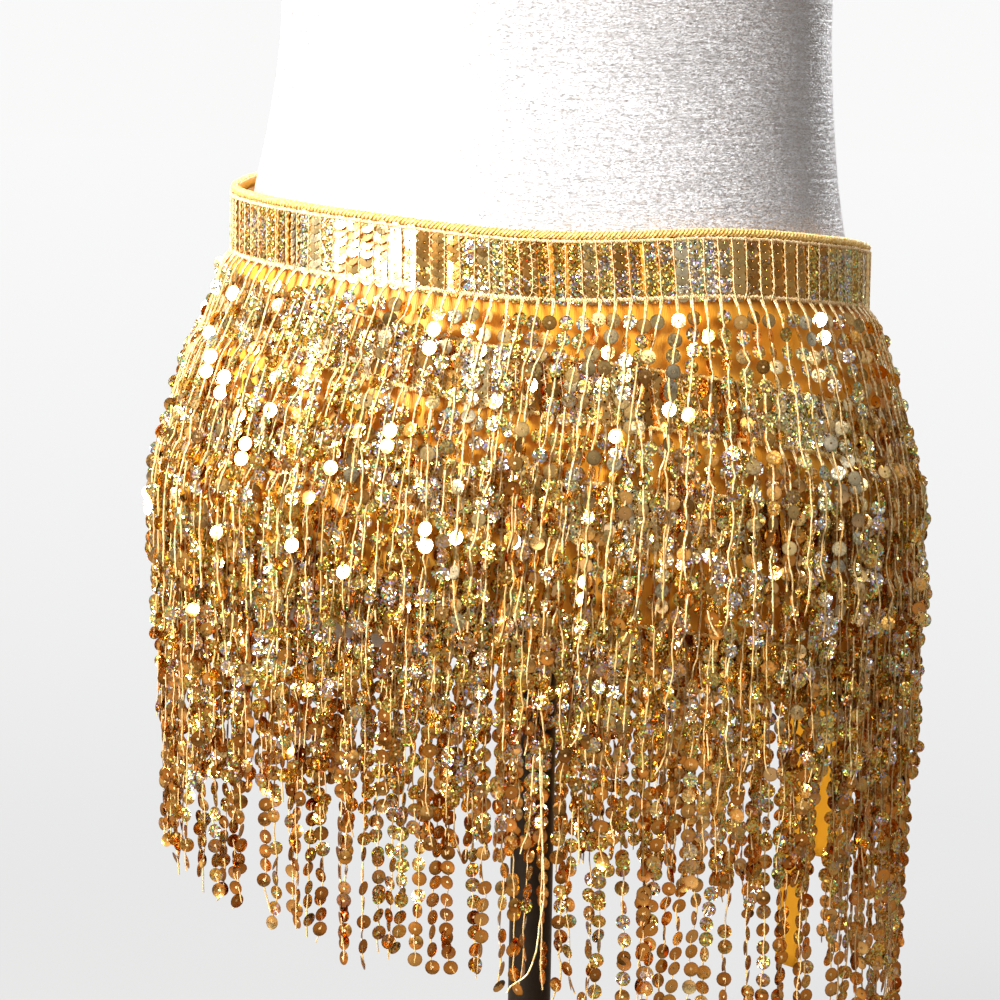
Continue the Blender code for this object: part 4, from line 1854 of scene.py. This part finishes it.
@dataclass
class Tie(Maker):
    """The tie at the back right: two straps, their knot and its two free ends."""

    width: float = 17.0
    wall: float = 1.2
    hollow: float = 0.45
    out: float = 11.5
    knot_out: float = 8.6
    knot_columns: int = 40
    knot_rows: int = 22
    knot_power: float = 0.8

    def axes(self) -> tuple[Array, Array]:
        """The level directions across and out of the scarf at its opening.

        Returns:
            The direction across, and the direction out.
        """
        figure = FIGURE
        first = figure.cloth(np.array(figure.opening_angle - figure.opening_half), 0.0, 0.0)
        last = figure.cloth(np.array(figure.opening_angle + figure.opening_half), 0.0, 0.0)
        across = last - first
        across[2] = 0.0
        across = unit(across)
        return across, np.cross(across, [0.0, 0.0, 1.0])

    def strip(self, name: str, middles: Array, across: Array, outward: Array) -> bpy.types.Object:
        """A flat strip of folded cloth, slightly hollowed between its edges.

        Args:
            name: the piece's name.
            middles: the points of its middle line.
            across: the direction of its width at each of those points.
            outward: the direction that it faces at each.

        Returns:
            The piece.
        """
        shares = np.linspace(-0.5, 0.5, 7)
        hollow = self.hollow * MM * (1 - (2 * shares) ** 4)
        points = middles[:, None, :] + across[:, None, :] * shares[None, :, None] * self.width * MM
        points = points - outward[:, None, :] * hollow[None, :, None]
        run = np.concatenate([[0.0], np.cumsum(np.linalg.norm(np.diff(middles, axis=0), axis=1))])
        mesh = grid_mesh(name, points, run, shares * self.width * MM)
        if Vector(mesh.polygons[0].normal).dot(Vector(outward[0])) < 0:
            mesh.flip_normals()
        return self.cut(mesh, self.wall, self.finishes.tie_satin)

    def free_end(
        self, name: str, length: float, sideways: float, swing: float, out: float
    ) -> bpy.types.Object:
        """One free end, hanging over the hip from the knot.

        Args:
            name: the piece's name.
            length: how far it hangs.
            sideways: how far its head is to one side.
            swing: how much further its foot is.
            out: how far out it hangs.

        Returns:
            The piece.
        """
        figure = FIGURE
        across, outward = self.axes()
        shares = np.linspace(0.0, 1.0, 46)
        head = -figure.header_height / 2 + 8.0
        drops = head + length * shares
        middles = figure.cloth(np.full_like(drops, figure.opening_angle), drops, out)
        lean = sideways + swing * shares**2 + 1.1 * np.sin(shares * 9.0) * shares
        middles = middles + across * lean[:, None] * MM
        twist = 0.30 * np.sin(shares * 5.0 + swing) * shares
        width = across * np.cos(twist)[:, None] + outward * np.sin(twist)[:, None]
        face = outward * np.cos(twist)[:, None] - across * np.sin(twist)[:, None]
        return self.strip(name, middles, width, face)

    def strap(self, name: str, side: int) -> bpy.types.Object:
        """One strap, from the end of the band to the knot, gathering as it goes in.

        Args:
            name: the piece's name.
            side: -1 for the strap before the opening, or 1 for the one after it.

        Returns:
            The piece.
        """
        figure = FIGURE
        shares = np.linspace(0.0, 1.0, 12)
        turn = (figure.opening_half + 6.0) * (1 - shares) + 2.0 * shares
        angles = figure.opening_angle + side * turn
        middle = -figure.header_height / 2
        outs = 3.0 + 3.2 * np.clip(shares * 1.6 - 0.5, 0, 1)
        heights = np.linspace(-0.5, 0.5, 7)
        squeeze = 1.0 - 0.45 * np.clip(shares * 1.5 - 0.5, 0.0, 1.0)
        drops = middle + heights[None, :] * self.width * squeeze[:, None]
        fold = 0.5 * np.sin(heights * 14.0)[None, :] * (1 - squeeze)[:, None] * 2.0
        points = figure.cloth(angles[:, None], drops, outs[:, None] + fold)
        mesh = grid_mesh(name, points, shares * 0.03, heights * self.width * MM)
        if side > 0:
            mesh.flip_normals()
        return self.cut(mesh, self.wall)

    def knot(self) -> bpy.types.Object:
        """The knot: one soft wrap of the strap, pulled tight, with folds running round it.

        Returns:
            The piece.
        """
        figure = FIGURE
        across, outward = self.axes()
        place = np.array(figure.opening_angle), -figure.header_height / 2, self.knot_out
        middle = figure.cloth(*place)
        turns = np.linspace(0.0, 2 * math.pi, self.knot_columns, endpoint=False)
        shares = np.linspace(-1.0, 1.0, self.knot_rows)
        points = np.zeros((self.knot_columns, self.knot_rows, 3))
        for column, turn in enumerate(turns):
            for row, share in enumerate(shares):
                full = (1 - abs(share) ** 3.2) ** 0.42 if abs(share) < 1 else 0.0
                crease = 0.55 * math.sin(share * 11.0 + 0.9 * math.sin(turn)) * full
                crease += 0.35 * math.sin(share * 23.0 + 2.0 * math.cos(turn)) * full
                tall = (10.4 * full + crease) * MM
                deep = (5.3 * full + crease) * MM
                wide = (9.6 * share + 1.6 * math.sin(turn) * share) * MM
                high = math.copysign(abs(math.sin(turn)) ** self.knot_power, math.sin(turn)) * tall
                forth = math.copysign(abs(math.cos(turn)) ** self.knot_power, math.cos(turn)) * deep
                sideways = middle + across * wide
                points[column, row] = sideways + outward * forth + np.array([0, 0, high])
        mesh = grid_mesh("tie_knot_wrap", points, turns * 0.01, shares * 0.01, closed=True)
        work = bmesh.new()
        work.from_mesh(mesh)
        bmesh.ops.remove_doubles(work, verts=work.verts, dist=0.00005)
        settle(work, mesh)
        return add_object("tie_knot_wrap", mesh, self.finishes.satin)

    def build(self) -> None:
        """Makes the tie."""
        knot = finish_piece(self.knot(), ["tie_knot"])
        first = finish_piece(self.strap("tie_strap_first", -1), ["tie_strap_a"])
        second = finish_piece(self.strap("tie_strap_second", 1), ["tie_strap_b"])
        long_end = self.free_end("tie_end_first", 358.0, 2.0, 9.0, self.out)
        short_end = self.free_end("tie_end_second", 297.0, -3.0, -8.0, self.out + 2.5)
        finish_piece(long_end, ["tie_end_long"])
        finish_piece(short_end, ["tie_end_short"])
        width = self.width * MM
        declare_sheet(long_end, (width, 0.360))
        declare_sheet(short_end, (width, 0.300))


# ---- Dress form and stand ----


@dataclass
class DressForm(Maker):
    """The smooth limbless form in its stretched cover."""

    columns: int = 112
    row_step: float = 7.0

    def build(self) -> bpy.types.Object:
        """Makes the form, closed at its underside and its neck.

        Returns:
            The form.
        """
        figure = FIGURE
        rows = figure.form.rows[:, 0]
        heights = [rows[0]]
        for low, high in zip(rows, rows[1:]):
            parts = max(2, math.ceil((high - low) / self.row_step))
            heights += [low + (high - low) * part / parts for part in range(1, parts + 1)]
        levels = np.array(heights)
        angles = np.linspace(0.0, 360.0, self.columns, endpoint=False)
        points = figure.section(levels[None, :], angles[:, None], 0.0, levels[None, :])
        mesh = grid_mesh("form_cover", points, angles / 360.0, levels * MM, closed=True)
        work = bmesh.new()
        work.from_mesh(mesh)
        work.verts.ensure_lookup_table()
        count = len(levels)
        for row in (0, count - 1):
            work.faces.new([work.verts[column * count + row] for column in range(self.columns)])
        settle(work, mesh)
        mesh.set_sharp_from_angle(angle=math.radians(50))
        piece = add_object("form_cover", mesh, self.finishes.lame)
        return finish_piece(piece, ["form_body"])


@dataclass
class Stand(Maker):
    """The foot, the pole and the socket under the form."""

    foot_radius: float = 150.0
    foot_height: float = 8.0
    pole_radius: float = 10.5
    collar_wall: float = 4.0
    socket_radius: float = 23.0
    socket_top: float = 309.7
    socket_height: float = 18.0
    rim_height: float = 5.0
    gap: float = 0.3

    def turned(
        self, name: str, node: str, profile: Sequence[tuple[float, float]], edge: float
    ) -> None:
        """Turns one piece.

        Args:
            name: the piece's name.
            node: the CAD node that it takes the place of.
            profile: the radius and height of each of its corners.
            edge: the radius of its edges.
        """
        points = [(radius * MM, height * MM) for radius, height in rounded(profile, edge)]
        piece = add_object(name, lathe_mesh(name, points), self.finishes.bronze)
        finish_piece(piece, [node])

    def build(self) -> None:
        """Makes the three turned pieces."""
        rim, top = self.foot_radius, self.foot_height
        foot = [(0, top), (rim, top), (rim, 0), (0, 0)]
        self.turned("foot_plate", "stand_base", foot, 2.2)
        low = self.socket_top - self.socket_height
        collar = self.pole_radius + self.collar_wall
        rim = self.socket_top - self.rim_height
        socket = [(0, self.socket_top), (self.socket_radius, self.socket_top)]
        socket += [(self.socket_radius, rim), (collar, rim - 5.0), (collar, low), (0, low)]
        self.turned("socket_flange", "form_socket", socket, 0.9)
        high, low, side = low - self.gap, self.foot_height + self.gap, self.pole_radius
        pole = [(0, high), (side, high), (side, low), (0, low)]
        self.turned("pole_tube", "stand_pole", pole, 0.8)


# ---- Studio ----


@dataclass
class Studio:
    """A pale floor, soft lights and the camera.

    Lengths are in metres. A room's row gives the shares of a direction that its light grows
    between, and its least and most light. The clutter's row does that for a cloud.
    """

    camera_away: float = 1.41
    camera_height: float = 0.545
    lens: float = 105.6
    pitch: float = 6.98
    yaw: float = 0.76
    roll: float = 1.0
    aim: Colour = (0.0, 0.0, 0.45)
    floor_radius: float = 400.0
    # the floor's painted glow to the camera: horizon_pale far off, falling to foot_pale, a painted shade,
    # near the stand
    pool: float = 0.55
    horizon_pale: float = 0.95
    foot_pale: float = 0.57
    room_up: tuple[float, ...] = (-0.1, 0.9, 0.06, 0.56)
    room_left: tuple[float, ...] = (0.3, -0.8, 0.0, 0.66)
    room_back: tuple[float, ...] = (0.0, 1.0, 0.0, 0.48)
    clutter: tuple[float, ...] = (0.40, 0.62, 0.35, 1.8)
    clutter_scale: float = 2.8

    def floor(self) -> None:
        """Lays the pale floor, which meets the surround without a line.

        To the camera it glows as painted light, weaker near the foot as painted shade. Every other ray
        meets it dark brown, a painted shade for the mirrors to see.
        """
        bpy.ops.mesh.primitive_circle_add(vertices=96, radius=self.floor_radius, fill_type="NGON")
        floor = bpy.context.object
        floor.name = "studio_floor"
        dye = Dye("pale_floor", 0.8)
        ray = dye.add("LightPath").outputs["Is Camera Ray"]
        cloud = dye.noise(dye.place(), 1.2, 2.0)
        lit = dye.ramp(cloud, [(0.2, (0.44, 0.44, 0.44)), (0.8, (0.47, 0.47, 0.47))])
        # painted shade: every ray but the camera's meets a dark brown floor
        dye.paint(Base_Color=dye.blend(ray, (0.16, 0.11, 0.07), lit))
        reach = dye.add("VectorMath", {0: dye.place()}, operation="LENGTH").outputs["Value"]
        # painted light: to the camera the floor glows, weaker near the foot as painted shade
        near = dye.sum("DIVIDE", self.pool, dye.sum("ADD", reach, self.pool))
        pale = dye.stretch(near, 0.0, 1.0, self.horizon_pale, self.foot_pale)
        glow = dye.add("Emission", {"Strength": pale})
        seen = dye.sum("MULTIPLY", ray, dye.stretch(near, 0.35, 0.85, 1.0, 0.45))
        floor.data.materials.append(dye.finish(seen, glow.outputs[0]))

    def lamp(self, name: str, place: Colour, size: float, watts: float, tint: Colour) -> None:
        """Hangs one soft light, aimed at the figure.

        Args:
            name: the light's name.
            place: where it hangs.
            size: the length of its side.
            watts: its power.
            tint: its colour.
        """
        light = bpy.data.lights.new(name, "AREA")
        light.shape = "SQUARE"
        light.size = size
        light.energy = watts
        light.color = tint
        holder = bpy.data.objects.new(name, light)
        holder.location = place
        way = Vector(self.aim) - Vector(place)
        holder.rotation_euler = way.to_track_quat("-Z", "Y").to_euler()
        bpy.context.scene.collection.objects.link(holder)

    def world(self) -> None:
        """A pale surround, with a dim and uneven room for the mirrors to see."""
        world = bpy.data.worlds.new("studio_world")
        bpy.context.scene.world = world
        world.use_nodes = True
        world.node_tree.nodes.clear()
        sky = Shading(world.node_tree)
        way = sky.add("TexCoord").outputs["Generated"]
        parts = sky.add("SeparateXYZ", {"Vector": way}).outputs
        up = sky.stretch(parts["Z"], *self.room_up)
        across = sky.stretch(parts["X"], *self.room_left)
        behind = sky.stretch(parts["Y"], *self.room_back)
        total = sky.sum("ADD", sky.sum("ADD", up, across), behind)
        clutter = sky.stretch(sky.noise(way, self.clutter_scale, 2.0), *self.clutter)
        strength = sky.sum("MULTIPLY", total, clutter)
        room = sky.add("Background", {"Color": (0.98, 0.98, 1.0, 1.0), "Strength": strength})
        pale = {"Color": (1.0, 0.997, 0.997, 1.0), "Strength": self.horizon_pale}
        surround = sky.add("Background", pale)
        seen = sky.add("LightPath").outputs["Is Camera Ray"]
        mix = sky.add("MixShader", {0: seen, 1: room.outputs[0], 2: surround.outputs[0]})
        sky.add("OutputWorld", {0: mix.outputs[0]})

    def camera(self) -> None:
        """Sets up the camera, a little above the band and looking slightly down."""
        data = bpy.data.cameras.new("camera")
        data.lens = self.lens
        data.clip_start = 0.05
        holder = bpy.data.objects.new("camera", data)
        holder.location = (0.0, -self.camera_away, self.camera_height)
        aim = Matrix.Rotation(math.radians(self.yaw), 3, "Z")
        aim = aim @ Matrix.Rotation(math.radians(90.0 - self.pitch), 3, "X")
        aim = aim @ Matrix.Rotation(math.radians(self.roll), 3, "Z")
        holder.rotation_euler = aim.to_euler()
        bpy.context.scene.collection.objects.link(holder)
        bpy.context.scene.camera = holder

    def build(self) -> None:
        """Sets up the whole studio."""
        bpy.context.scene.view_settings.view_transform = "Standard"
        self.floor()
        self.world()
        self.lamp("key", (-1.60, -1.40, 1.35), 0.85, 150.0, (1.0, 0.985, 0.96))
        self.lamp("fill", (1.0, -1.7, 2.3), 1.2, 13.0, (1.0, 0.98, 0.95))
        self.lamp("back", (0.9, 1.8, 1.5), 1.2, 46.0, (1.0, 1.0, 1.0))
        self.camera()


def main() -> None:
    """Builds every piece and reports it."""
    logging.basicConfig(level=logging.INFO, format="%(message)s")
    Studio().build()
    bench = Finishes(), scatter_tree(), thread_tree()
    Stand(*bench).build()
    DressForm(*bench).build()
    ground = GroundWrap(*bench).build()
    binding = Binding(*bench).build()
    declare_sheet(ground)
    tiers = (
        Strands(
            1, 41, lively=0.62, flips=0.15, turned=0.18, turned_low=0.55, tone_shift=-0.05,
            thread_radius=0.00050, dish=0.00022, bright_runs=0.47,
        ),
        Strands(
            2, 42, lively=0.86, lively_low=-0.1, flips=0.35, turned=0.34, turned_low=0.4,
            lean_share=0.8, tone_shift=0.06, thread_radius=0.00043, dish=0.00036, bright_runs=0.08,
        ),
        Strands(
            3, 43, lively=0.94, lively_low=-0.34, flips=0.70, turned=0.46, turned_low=-0.1,
            lean_share=0.4, tone_shift=0.18, dish=0.00062,
        ),
        Strands(
            4, 44, lively=0.80, lively_low=-0.42, flips=0.85, turned=0.14, lean_share=0.2,
            tone_shift=0.28, dish=0.00078,
        ),
    )
    for strands in tiers:
        fringe = FringeTier(*bench, strands).build()
        Header(*bench, strands.tier, 70 + strands.tier).build(fringe)
    Tie(*bench).build()


if __name__ == "__main__":
    main()
